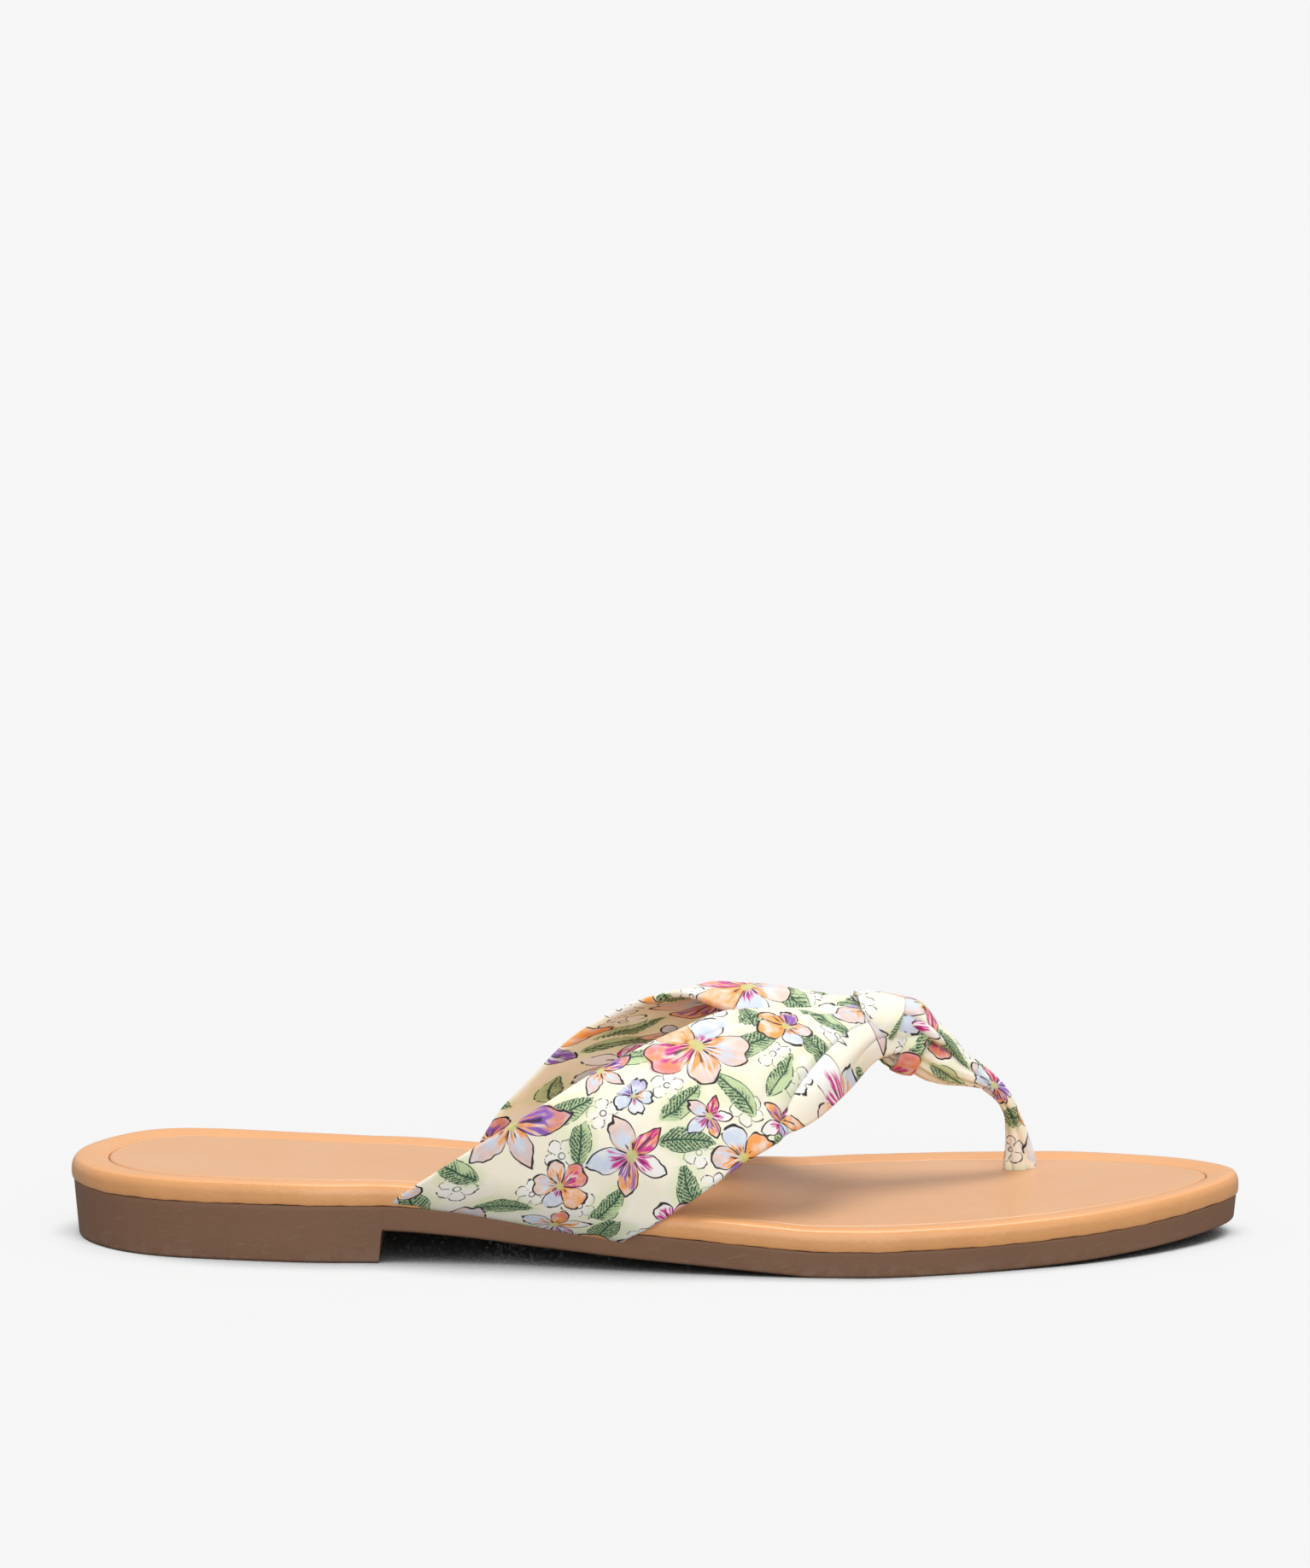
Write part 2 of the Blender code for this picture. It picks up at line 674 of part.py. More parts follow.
def main():
    for obj in list(bpy.data.objects):
        bpy.data.objects.remove(obj)
    outsole = make_outsole()
    for groove in tread_grooves():
        combine(outsole, groove, "DIFFERENCE")
    footbed = make_footbed()
    sock = make_sock()
    legs = (
        (-1, LATERAL_RIBS, LATERAL_BASE_BACK, LATERAL_BASE_FRONT, LATERAL_LEAN),
        (1, MEDIAL_RIBS, MEDIAL_BASE_BACK, MEDIAL_BASE_FRONT, MEDIAL_LEAN),
    )
    for leg in legs:
        combine(outsole, tail_cutter("cutter", *leg), "DIFFERENCE")
        combine(footbed, tail_cutter("cutter", *leg), "DIFFERENCE")
    combine(footbed, post_cutter(), "DIFFERENCE")
    combine(sock, post_cutter(), "DIFFERENCE")
    upper = make_upper()
    for obj in (outsole, footbed, sock, upper):
        finish(obj)


main()
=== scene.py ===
# %% [markdown]
# # A toe post sandal with a knotted, flower-printed strap
#
# A maker builds this shoe from four things: a moulded brown sole, a padded tan footbed, a thin sock
# glued into it, and one length of printed cotton that is gathered in a knot and ends in the post
# between the toes. This lesson dresses each of them. The measured solids are loaded first. Every
# visible piece is worked out in millimetres in the same place, so nothing has to be fitted later.

# %% The frame: load the measured solids
import math
from functools import partialmethod

import bmesh
import bpy
import numpy as np
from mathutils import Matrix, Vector


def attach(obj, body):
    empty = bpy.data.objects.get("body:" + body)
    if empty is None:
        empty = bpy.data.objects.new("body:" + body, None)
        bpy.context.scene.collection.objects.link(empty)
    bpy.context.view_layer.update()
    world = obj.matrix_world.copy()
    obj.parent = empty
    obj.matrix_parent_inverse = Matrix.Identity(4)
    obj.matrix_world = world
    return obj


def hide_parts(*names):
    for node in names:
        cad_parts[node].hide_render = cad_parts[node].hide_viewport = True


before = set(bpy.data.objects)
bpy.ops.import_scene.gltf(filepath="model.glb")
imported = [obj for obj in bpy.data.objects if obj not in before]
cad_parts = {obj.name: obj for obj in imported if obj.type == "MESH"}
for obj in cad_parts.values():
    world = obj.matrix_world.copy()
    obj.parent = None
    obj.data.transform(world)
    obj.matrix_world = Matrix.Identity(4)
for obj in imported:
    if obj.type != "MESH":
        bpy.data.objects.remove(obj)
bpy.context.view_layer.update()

MM = 0.001
print("solids:", sorted(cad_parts))

# %% [markdown]
# ## The camera
#
# The shoe is seen straight from its outer side and a little from above, through a long lens, so the
# toe and the heel look equally large. A lens is given in millimetres on a 36 mm sensor, and the
# picture is taller than wide, so the sensor lies along the picture's height.

# %% Camera
PICTURE_HEIGHT = 1836
FOCAL_PIXELS = 6900.0
SENSOR = 36.0
CAMERA_PLACE = (0.0, -1.22777, 0.25693)
CAMERA_DOWN = 7.431
CLIP = (0.05, 80.0)


def add_object(name, data):
    """A new object in the scene, at the origin."""
    added = bpy.data.objects.new(name, data)
    bpy.context.scene.collection.objects.link(added)
    return added


lens = bpy.data.cameras.new("Camera")
lens.sensor_width = SENSOR
lens.lens = FOCAL_PIXELS * SENSOR / PICTURE_HEIGHT
lens.clip_start, lens.clip_end = CLIP
camera = add_object("Camera", lens)
camera.location = CAMERA_PLACE
camera.rotation_euler = (math.radians(90.0 - CAMERA_DOWN), 0.0, 0.0)
bpy.context.scene.camera = camera
print("lens %.1f mm" % lens.lens)

# %% [markdown]
# ## Floor and light
#
# The photograph is a catalogue picture: a pale floor without an edge or a horizon, one wide soft
# light above and a little behind the shoe, a weak one low in front, and pale walls all round that
# fill the shadows. Both lights are very wide suns, because their light stays even however far the
# floor goes.
#
# Such a picture has its floor bleached afterwards. Here the floor glows brightly for the camera, as
# a lit table would, and only where the sky reaches it, so the dark under the arch stays. For all
# other rays it glows faintly, a painted light that lights the shoe from below in place of a bright
# floor's bounce. Floor and backdrop work out to the same tone, which hides the line between them.

# %% Floor, world and lamps
FLOOR_REACH = 30.0
PALE = 0.925
FILL_LIGHT = 0.55
KEY_LIGHT = 0.62
FRONT_LIGHT = 0.18
FLOOR_ALBEDO = 0.11
FLOOR_BOUNCE = 0.16
CONTACT_REACH = 0.025
CONTACT_SHADE = (0.24, 0.54)
KEY_PLACE = (0.10, 0.17, 0.90)
KEY_WIDTH = 34.0
KEY_COLOUR = (1.0, 0.99, 0.975)
FRONT_PLACE = (0.16, -0.87, 0.38)
FRONT_WIDTH = 60.0
WHITE = (1.0, 1.0, 1.0)


def plain_material(name, colour, roughness):
    """A material with one shader, ready for its nodes."""
    material = bpy.data.materials.new(name)
    material.use_nodes = True
    shader = material.node_tree.nodes["Principled BSDF"]
    shader.inputs["Base Color"].default_value = (*colour, 1.0)
    shader.inputs["Roughness"].default_value = roughness
    return material, shader


def add_sun(name, place, share, width, colour):
    """A wide sun seen from the shoe in the given direction; share is its light on a level floor."""
    way = Vector(place).normalized()
    lamp = bpy.data.lights.new(name, "SUN")
    lamp.energy = share * math.pi / way.z
    lamp.angle = math.radians(width)
    lamp.color = colour
    add_object(name, lamp).rotation_euler = (-way).to_track_quat("-Z", "Y").to_euler()


def feed(tree, value, target):
    """Links a socket to an input, or writes a plain value into it."""
    value = getattr(value, "socket", value)
    if isinstance(value, bpy.types.NodeSocket):
        tree.links.new(value, target)
    else:
        target.default_value = value


def feed_all(tree, node, **values):
    """Feeds the named inputs of a node; _ stands for a space in an input's name."""
    for name, value in values.items():
        feed(tree, value, node.inputs[name.replace("_", " ")])


def add_node(tree, kind, **settings):
    """One node; names in small letters are its settings, and the others its inputs."""
    node = tree.nodes.new(kind)
    for name in [name for name in settings if name[0].islower()]:
        setattr(node, name, settings.pop(name))
    feed_all(tree, node, **settings)
    return node


def stretch(tree, source, low, high, span=(0.0, 1.0), way="LINEAR"):
    """Takes low to high onto the two values of span."""
    return add_node(
        tree, "ShaderNodeMapRange", interpolation_type=way, Value=source,
        From_Min=low, From_Max=high, To_Min=span[0], To_Max=span[1],
    ).outputs["Result"]


floor_mesh = bpy.data.meshes.new("Floor")
corners = [(-FLOOR_REACH, -FLOOR_REACH, 0), (FLOOR_REACH, -FLOOR_REACH, 0)]
corners += [(FLOOR_REACH, FLOOR_REACH, 0), (-FLOOR_REACH, FLOOR_REACH, 0)]
floor_mesh.from_pydata(corners, [], [(0, 1, 2, 3)])
floor = add_object("Floor", floor_mesh)
floor_material, floor_shader = plain_material("studio floor", (FLOOR_ALBEDO,) * 3, 1.0)
floor_tree = floor_material.node_tree
floor_rays = add_node(floor_tree, "ShaderNodeLightPath").outputs["Is Camera Ray"]
floor_lit = FLOOR_ALBEDO * (FILL_LIGHT + KEY_LIGHT + FRONT_LIGHT)
# Strong glow for the camera, faint glow for all other rays: a painted light on the shoe from below.
glow = stretch(floor_tree, floor_rays, 0.0, 1.0, (FLOOR_BOUNCE, PALE - floor_lit))
contact = add_node(floor_tree, "ShaderNodeAmbientOcclusion", samples=4, Distance=CONTACT_REACH)
open_sky = stretch(floor_tree, contact.outputs["AO"], *CONTACT_SHADE, way="SMOOTHSTEP")
shaded_glow = add_node(floor_tree, "ShaderNodeMath", operation="MULTIPLY")
floor_tree.links.new(glow, shaded_glow.inputs[0])
floor_tree.links.new(open_sky, shaded_glow.inputs[1])
feed_all(
    floor_tree, floor_shader, Emission_Strength=shaded_glow.outputs[0],
    Emission_Color=(*WHITE, 1.0), Specular_IOR_Level=0.0,
)
floor.data.materials.append(floor_material)

world = bpy.data.worlds.new("Studio")
world.use_nodes = True
rays = add_node(world.node_tree, "ShaderNodeLightPath").outputs["Is Camera Ray"]
seen = stretch(world.node_tree, rays, 0.0, 1.0, (FILL_LIGHT, PALE))
backdrop = world.node_tree.nodes["Background"]
feed_all(world.node_tree, backdrop, Strength=seen, Color=(*WHITE, 1.0))
bpy.context.scene.world = world
bpy.context.scene.view_settings.view_transform = "Standard"

add_sun("Key", KEY_PLACE, KEY_LIGHT, KEY_WIDTH, KEY_COLOUR)
add_sun("Front fill", FRONT_PLACE, FRONT_LIGHT, FRONT_WIDTH, WHITE)
print("lit floor %.2f" % floor_lit)

# %% [markdown]
# ## The shoe's own sizes
#
# The same few driving sizes and short tables shape the solids and the pieces here. A table holds
# shares, so a row reads as a place on the shoe: share of the length from the heel, share of the
# width from the axis. One smooth curve runs through each column.

# %% Sizes in millimetres
LENGTH = 248.0
OVERALL_WIDTH = 87.2
HEEL_LIFT = 6.9
TOE_SPRING = 3.2
HEEL_THICKNESS = 5.3
TOE_THICKNESS = 5.6
HEEL_BREAST = 0.270 * LENGTH
WALL_DRAFT = 0.075
GAP = 0.3
FOOTBED_THICKNESS = 4.1
BEAD_RISE = 0.95
BEAD_WIDTH = 7.4
SOCK_THICKNESS = 1.4
STRAP_RISE = 40.0
KNOT_SIZE = 16.0
HEEL_ROUND = 30.0
TOE_ROUND = 40.0


def named_columns(names, *rows):
    """A table as one row of numbers for each name."""
    return dict(zip(names.split(), np.array(rows, float).T))


OUTLINE = named_columns(
    "along centre half",
    (0.000, 0.080, 0.338),
    (0.050, 0.090, 0.356),
    (0.112, 0.067, 0.343),
    (0.154, 0.042, 0.342),
    (0.214, 0.007, 0.334),
    (0.269, -0.013, 0.318),
    (0.327, -0.029, 0.319),
    (0.420, -0.048, 0.345),
    (0.486, -0.054, 0.379),
    (0.558, -0.051, 0.416),
    (0.640, -0.024, 0.468),
    (0.690, -0.010, 0.483),
    (0.740, 0.015, 0.477),
    (0.800, 0.042, 0.449),
    (0.850, 0.060, 0.412),
    (0.900, 0.071, 0.369),
    (0.950, 0.073, 0.321),
    (1.000, 0.062, 0.262),
)

PROFILE = named_columns(
    "along heel spring",
    (0.000, 1.00, 0.00),
    (0.270, 1.00, 0.00),
    (0.340, 0.86, 0.00),
    (0.400, 0.65, 0.00),
    (0.480, 0.41, 0.00),
    (0.550, 0.23, 0.00),
    (0.600, 0.09, 0.00),
    (0.635, 0.00, 0.00),
    (0.730, 0.00, 0.00),
    (0.850, 0.00, 0.18),
    (0.920, 0.00, 0.47),
    (1.000, 0.00, 1.00),
)


def curve_through(knots, values, at):
    """A smooth curve through the points (knots, values), flat where the values turn back."""
    knots, values, at = (np.asarray(each, float) for each in (knots, values, at))
    spans = np.diff(knots)
    slopes = np.diff(values) / spans
    before, after = slopes[:-1], slopes[1:]
    mean = (spans[1:] * before + spans[:-1] * after) / (spans[:-1] + spans[1:])
    limit = 3 * np.minimum(abs(before), abs(after))
    inner = np.where(before * after <= 0, 0.0, np.clip(mean, -limit, limit))
    tangents = np.concatenate(([slopes[0]], inner, [slopes[-1]]))
    at = np.clip(at, knots[0], knots[-1])
    i = np.clip(np.searchsorted(knots, at, side="right") - 1, 0, len(spans) - 1)
    t = (at - knots[i]) / spans[i]
    return (
        values[i] * (1 + 2 * t) * (1 - t) ** 2
        + spans[i] * tangents[i] * t * (1 - t) ** 2
        + values[i + 1] * t * t * (3 - 2 * t)
        + spans[i] * tangents[i + 1] * t * t * (t - 1)
    )


def look_up(table, name, at, by="along"):
    """One column of a table as a smooth function of another."""
    return curve_through(table[by], table[name], at)


def smooth_step(value):
    """0 up to 0 and 1 from 1, with a soft change between them."""
    value = np.clip(value, 0.0, 1.0)
    return value * value * (3 - 2 * value)


def x_at(along):
    return (np.asarray(along) - 0.5) * LENGTH


def along_at(x):
    return np.clip(np.asarray(x) / LENGTH + 0.5, 0.0, 1.0)


def plate_underside(along):
    lift = HEEL_LIFT * look_up(PROFILE, "heel", along)
    return np.maximum(lift + TOE_SPRING * look_up(PROFILE, "spring", along), 0.0)


def outsole_top(along):
    along = np.clip(along, 0.0, 1.0)
    return plate_underside(along) + HEEL_THICKNESS + (TOE_THICKNESS - HEEL_THICKNESS) * along


def footbed_top(along):
    return outsole_top(along) + FOOTBED_THICKNESS


print("ball width %.0f mm" % (2 * OUTLINE["half"].max() * OVERALL_WIDTH))

# %% [markdown]
# ## Rings round the sole
#
# Sole, footbed and sock are all the same outline, moved inwards by different amounts at different
# heights. So one function gives a ring: it walks from the heel tip along the inner side to the toe
# tip and back along the outer side. The two ends are closed with a quarter ellipse, which keeps
# them round, and the stations stand closer together there.

# %% Outline rings
SIDE_STATIONS = 260
LEAST_SOFT = 0.05


def edge_y(along, side):
    """Distance of the sole's edge from the axis; side +1 is the inner side, -1 the outer."""
    along = np.clip(along, 0.0, 1.0)
    from_heel = np.clip(along * LENGTH / HEEL_ROUND, 0.0, 1.0)
    from_toe = np.clip((1.0 - along) * LENGTH / TOE_ROUND, 0.0, 1.0)
    ends = np.sqrt(1.0 - (1.0 - from_heel) ** 2) * np.sqrt(1.0 - (1.0 - from_toe) ** 2)
    centre, half = (look_up(OUTLINE, name, along) for name in ("centre", "half"))
    return OVERALL_WIDTH * (centre + side * half * ends)


def share_at(turn):
    """Share of the length at a turn, 0 at the heel tip and pi at the toe tip."""
    return 0.5 - 0.5 * np.cos(turn)


def edge_points(turn, side, inset):
    """Points of the outline moved inwards."""
    step = 0.002

    def outline(angle):
        along = share_at(angle)
        this_side = np.where((angle >= 0) & (angle <= math.pi), side, -side)
        return np.stack((x_at(along), edge_y(along, this_side)), axis=-1)

    tangent = outline(turn + step) - outline(turn - step)
    tangent /= np.linalg.norm(tangent, axis=-1, keepdims=True)
    inward = np.stack((tangent[..., 1], -tangent[..., 0]), axis=-1) * np.asarray(side)[..., None]
    return outline(turn) + inward * np.asarray(inset)[..., None]


def ring_places(extra=()):
    """Turn and side of every station of a ring, with extra stations at the given shares."""
    turns = np.linspace(0.0, math.pi, SIDE_STATIONS + 1)
    turns = np.unique(np.concatenate((turns, np.arccos(1.0 - 2.0 * np.array(extra, float)))))
    back = turns[-2:0:-1]
    return np.concatenate((turns, back)), np.concatenate((np.ones(len(turns)), -np.ones(len(back))))


def soften(flat, reach):
    """Averages a closed ring over a length of it, which rounds a corner and little else."""
    step = np.linalg.norm(np.roll(flat, -1, axis=0) - flat, axis=1)
    at = np.concatenate(([0.0], np.cumsum(step)[:-1]))
    apart = np.abs(at[:, None] - at[None])
    apart = np.minimum(apart, step.sum() - apart)
    weight = np.exp(-(apart / reach) ** 2) * (0.5 * (step + np.roll(step, 1)))[None]
    return weight @ flat / weight.sum(axis=1, keepdims=True)


def outline_ring(places, inset, height, soft=0.0):
    """A ring of points; inset is one number or one a station, height a function of the share."""
    turn, side = places
    flat = edge_points(turn, side, np.broadcast_to(inset, turn.shape))
    if soft > LEAST_SOFT:
        flat = soften(flat, soft)
    return np.column_stack((flat, height(along_at(flat[:, 0]))))


def waves(along, sizes, seed):
    """Small uneven waves, as hand work leaves them: sizes are (waves per shoe, height) pairs."""
    draw = np.random.default_rng(seed)
    total = np.zeros_like(np.asarray(along, float))
    for count, height in sizes:
        total += height * np.sin(2 * math.pi * (count * along + draw.random()))
    return total


print("ring of", len(ring_places()[0]), "points")

# %% [markdown]
# ## From points to a mesh
#
# Every surface in this lesson is a stack of rings. Neighbouring rings are joined with four-sided
# faces. The end of a stack is closed with rows that run straight across, from a point to the one
# opposite, so the flat middle has its own points and shades evenly.

# %% Mesh helpers
def stack_faces(rows, count):
    """Faces between neighbouring rings of count points each."""
    j, i = np.meshgrid(np.arange(rows - 1), np.arange(count), indexing="ij")
    k = (i + 1) % count
    faces = (j * count + i, j * count + k, (j + 1) * count + k, (j + 1) * count + i)
    return np.stack(faces, axis=-1).reshape(-1, 4)


def bridge_across(points, first, count, columns, flip):
    """Fills the ring of count points that starts at first; adds points and returns faces."""
    rows = [[first] * (columns + 1)]
    for i in range(1, count // 2):
        left, right = points[first + i], points[first + count - i]
        new = len(points)
        points += [left + (right - left) * c / columns for c in range(1, columns)]
        rows.append([first + i, *range(new, len(points)), first + count - i])
    rows.append([first + count // 2] * (columns + 1))
    faces = []
    for low, high in zip(rows, rows[1:]):
        for c in range(columns):
            face = [low[c], low[c + 1], high[c + 1], high[c]]
            kept = [place for k, place in enumerate(face) if place != face[k - 1]]
            faces.append(kept[::-1] if flip else kept)
    return faces


def make_piece(name, points, faces, flats=None):
    """An object at the origin, its faces turned outwards; flats are its corners' cloth places."""
    mesh = bpy.data.meshes.new(name)
    mesh.from_pydata((np.asarray(points) * MM).tolist(), [], faces)
    if flats is None:
        mesh.validate()
    else:
        mesh.uv_layers.new(name="cloth").data.foreach_set("uv", flats.ravel())
    bm = bmesh.new()
    bm.from_mesh(mesh)
    bmesh.ops.recalc_face_normals(bm, faces=bm.faces)
    bm.to_mesh(mesh)
    bm.free()
    mesh.shade_smooth()
    print(name, len(mesh.vertices), "points")
    return add_object(name, mesh)


def solid_from_rings(name, rings, columns=10):
    """A closed piece from a stack of rings, lowest first, with both ends bridged across."""
    count = len(rings[0])
    points = [point for ring in rings for point in ring]
    faces = stack_faces(len(rings), count).tolist()
    for first, flip in ((0, True), ((len(rings) - 1) * count, False)):
        faces += bridge_across(points, first, count, columns, flip)
    return make_piece(name, points, faces)

# %% [markdown]
# ## Outsole
#
# The sole is moulded in one piece: a thin plate that rises over the arch, with a low heel block
# under it. Its wall leans in a little towards the floor, so that it comes out of the mould, and its
# lower edge is rounded. The heel's front face is a close group of stations, over which the
# underside goes up from the floor to the plate.

# %% Outsole shape
BREAST_DEPTH = 0.9
BREAST_STATIONS = (-0.5, -0.35, -0.12, 0.0, 0.15, 0.35, 0.5)
SOLE_EDGE_ROUND = 0.8
OVERHANG = 0.3
WALL_SHARES = (0.35, 0.6, 0.8, 0.92)
TOP_EDGE = ((0.02, 0.20), (0.08, 0.09), (0.25, 0.04))
SOLE_WAVES = ((5, 0.05), (13, 0.03), (31, 0.015))

breast_shares = (HEEL_BREAST + np.array(BREAST_STATIONS) * BREAST_DEPTH) / LENGTH


def sole_bottom(along):
    """Height of the underside: the floor under the heel, then the plate."""
    past = (np.asarray(along) * LENGTH - HEEL_BREAST) / BREAST_DEPTH
    return plate_underside(along) * smooth_step(past + 0.5)


def side_share(places):
    """The share of the length, put off on the inner side so that the sides' waves differ."""
    return share_at(places[0]) + 0.5 * (places[1] > 0)


def outsole_rings():
    """Rings from the floor up; the wall stands a little inside the wrap above it."""
    places = ring_places(breast_shares)
    along = share_at(places[0])
    draft = WALL_DRAFT * (outsole_top(along) - sole_bottom(along))
    uneven = waves(side_share(places), SOLE_WAVES, 4)
    rings = []
    for turn in np.linspace(0.0, 0.5 * math.pi, 6):
        inset = OVERHANG + draft + SOLE_EDGE_ROUND * (1 - math.sin(turn))
        lift = SOLE_EDGE_ROUND * (1 - math.cos(turn))
        rings.append(outline_ring(places, inset, lambda at: sole_bottom(at) + lift))
    for share in WALL_SHARES:
        def height(at):
            low = sole_bottom(at) + SOLE_EDGE_ROUND
            return low + (outsole_top(at) - GAP - low) * share

        rings.append(outline_ring(places, OVERHANG + draft * (1 - share) + uneven * share, height))
    for inset, drop in TOP_EDGE:
        rings.append(
            outline_ring(places, OVERHANG + inset + uneven, lambda at: outsole_top(at) - drop)
        )
    return rings


outsole = solid_from_rings("outsole", outsole_rings())

# %% [markdown]
# ## Footbed
#
# The footbed is a foam board wrapped in tan sheet. Its edge is a padded bead: the wrap goes up the
# side, over a soft crown and down into a narrow groove, where the sock begins. A table of the rim's
# section gives that shape, and a smooth curve through its rows rounds it.

# %% Footbed shape
RIM = named_columns(
    "step inset height rise",
    (0, 0.050, 0.00, 0.00),
    (1, 0.015, 0.04, 0.00),
    (2, -0.005, 0.15, 0.00),
    (3, -0.018, 0.36, 0.00),
    (4, -0.012, 0.62, 0.02),
    (5, 0.035, 0.87, 0.06),
    (6, 0.12, 1.00, 0.28),
    (7, 0.24, 1.00, 0.52),
    (8, 0.38, 1.00, 0.60),
    (9, 0.55, 1.00, 0.48),
    (10, 0.72, 1.00, 0.22),
    (11, 0.86, 1.00, 0.02),
    (12, 0.94, 1.00, -0.10),
    (13, 0.985, 0.975, -0.16),
    (14, 1.00, 0.90, -0.16),
)
RIM_STEPS = 56
RECESS_MARGIN = 0.05
SOCK_SEAM = 0.12
TOE_NARROWING = 0.20
NARROW_FROM = 0.86
NARROW_OVER = 0.12
CORNER_SOFT = 5.0
WRAP_LIFT = 0.05
LOWER_WAVES = ((9, 0.05), (23, 0.05), (57, 0.04))
CROWN_WAVES = ((4, 0.05), (11, 0.03))


def rim_inset(share, along):
    """Inset of the rim at a share of its width; the rim is narrower at the toe."""
    at_toe = smooth_step((along - NARROW_FROM) / NARROW_OVER)
    return share * BEAD_WIDTH * (1 - TOE_NARROWING * at_toe)


def footbed_rings():
    places = ring_places()
    along = share_at(places[0])
    lower_edge = waves(side_share(places), LOWER_WAVES, 7)
    crown = waves(side_share(places), CROWN_WAVES, 9)
    rings = []
    for step in np.linspace(0, RIM["step"][-1], RIM_STEPS):
        inset, height, rise = (look_up(RIM, name, step, "step") for name in RIM if name != "step")

        def height_at(at):
            low = outsole_top(at) + WRAP_LIFT
            lift = height * (FOOTBED_THICKNESS - WRAP_LIFT) + rise * BEAD_RISE
            return low + lift + lower_edge * (1 - height) * 0.8 + crown * rise

        moved = rim_inset(inset, along) + lower_edge * (1 - height)
        rings.append(outline_ring(places, moved, height_at, CORNER_SOFT * inset ** 2))
    recess = rim_inset(1.0, along) + RECESS_MARGIN
    floor_at = lambda at: footbed_top(at) - SOCK_THICKNESS - GAP
    return rings + [outline_ring(places, recess, floor_at, CORNER_SOFT)]


footbed = solid_from_rings("footbed", footbed_rings())

# %% [markdown]
# ## Sock
#
# A thin panel is glued into the recess that the bead leaves. It is a short stack of rings with a
# small rounding at its upper edge. A narrow gap to the bead stays open all round, and it reads as
# the fine dark line that such a shoe has there.

# %% Sock shape
SOCK_EDGE_ROUND = 0.6
SOCK_BORDER = 1.2


def sock_rings():
    """Rings of the sock as pairs of inset and drop: its underside, its round edge, its top."""
    places = ring_places()
    edge = rim_inset(1.0, share_at(places[0])) + RECESS_MARGIN + SOCK_SEAM
    section = [(0.0, SOCK_THICKNESS)]
    for turn in np.linspace(0.0, 0.5 * math.pi, 5):
        inward, drop = 1 - math.cos(turn), 1 - math.sin(turn)
        section.append((SOCK_EDGE_ROUND * inward, SOCK_EDGE_ROUND * drop))
    section.append((SOCK_BORDER, 0.0))
    return [
        outline_ring(places, edge + inward, lambda at: footbed_top(at) - drop, CORNER_SOFT)
        for inward, drop in section
    ]


insole_sock = solid_from_rings("insole_sock", sock_rings())

# %% [markdown]
# ## The band's two legs
#
# The strap is one band of doubled cotton. Each leg starts under the footbed, comes up the side of
# the sole as a wide sheet and is gathered to a few centimetres at the knot. A row of the table
# below is a rib that runs across the band, from its back edge to its front edge, and the smooth
# curves through the rows make the sheet.

# %% Ribs of the two legs
RIB_NAMES = "run back_along back_across back_up front_along front_across front_up bulge"
OUTER_RIBS = named_columns(
    RIB_NAMES,
    (0.12, 0.312, -0.367, 0.065, 0.489, -0.450, -0.070, 0.01),
    (0.30, 0.389, -0.361, 0.407, 0.527, -0.447, 0.105, 0.03),
    (0.50, 0.462, -0.269, 0.696, 0.572, -0.390, 0.304, 0.07),
    (0.65, 0.517, -0.163, 0.852, 0.605, -0.321, 0.418, 0.10),
    (0.80, 0.574, -0.057, 0.960, 0.640, -0.229, 0.528, 0.13),
    (0.90, 0.622, 0.034, 0.953, 0.663, -0.115, 0.610, 0.12),
    (1.00, 0.667, 0.115, 0.940, 0.687, 0.030, 0.705, 0.07),
    (1.12, 0.700, 0.180, 0.940, 0.716, 0.095, 0.740, 0.03),
)
INNER_RIBS = named_columns(
    RIB_NAMES,
    (0.12, 0.360, 0.292, 0.130, 0.565, 0.400, 0.060, 0.01),
    (0.30, 0.394, 0.281, 0.380, 0.588, 0.408, 0.240, 0.03),
    (0.50, 0.440, 0.262, 0.674, 0.612, 0.395, 0.420, 0.07),
    (0.65, 0.496, 0.212, 0.890, 0.632, 0.365, 0.560, 0.12),
    (0.72, 0.528, 0.160, 0.955, 0.642, 0.345, 0.610, 0.17),
    (0.80, 0.565, 0.100, 0.915, 0.652, 0.320, 0.660, 0.21),
    (0.90, 0.622, 0.092, 0.895, 0.668, 0.278, 0.720, 0.18),
    (1.00, 0.667, 0.126, 0.935, 0.684, 0.235, 0.760, 0.13),
    (1.12, 0.700, 0.160, 0.930, 0.716, 0.240, 0.740, 0.03),
)
OUTER_BASE = (0.279, 0.470, 1.3)
INNER_BASE = (0.342, 0.545, 0.6)
TAIL_SINK = (0.3, 2.6)
TAIL = ((4.5, 0.0), (3.4, 0.0), (2.6, 0.0), (1.0, 0.25), (0.35, 0.9), (0.0, 2.2))
CLOTH_WALL = 1.6
LEG_ROWS = 170
LEG_COLUMNS = 120
EDGE_STEPS = 5
LINING_COLUMNS = 60
BASE_ROWS = 18
BASE_PASSES = 30
INSIDE_ACROSS = 0.1


def unit(vectors):
    return vectors / np.maximum(np.linalg.norm(vectors, axis=-1, keepdims=True), 1e-9)


def place(along, across, up):
    """A point from its shares: along the length, across the width, up above the footbed."""
    height = footbed_top(along) + np.asarray(up) * STRAP_RISE
    return np.stack((x_at(along), np.asarray(across) * OVERALL_WIDTH, height), axis=-1)


def rib_edges(ribs, run):
    """Back and front ends of the ribs at the given runs."""
    return [
        place(*(look_up(ribs, end + part, run, "run") for part in ("_along", "_across", "_up")))
        for end in ("back", "front")
    ]


print(len(OUTER_RIBS["run"]), "and", len(INNER_RIBS["run"]), "ribs")

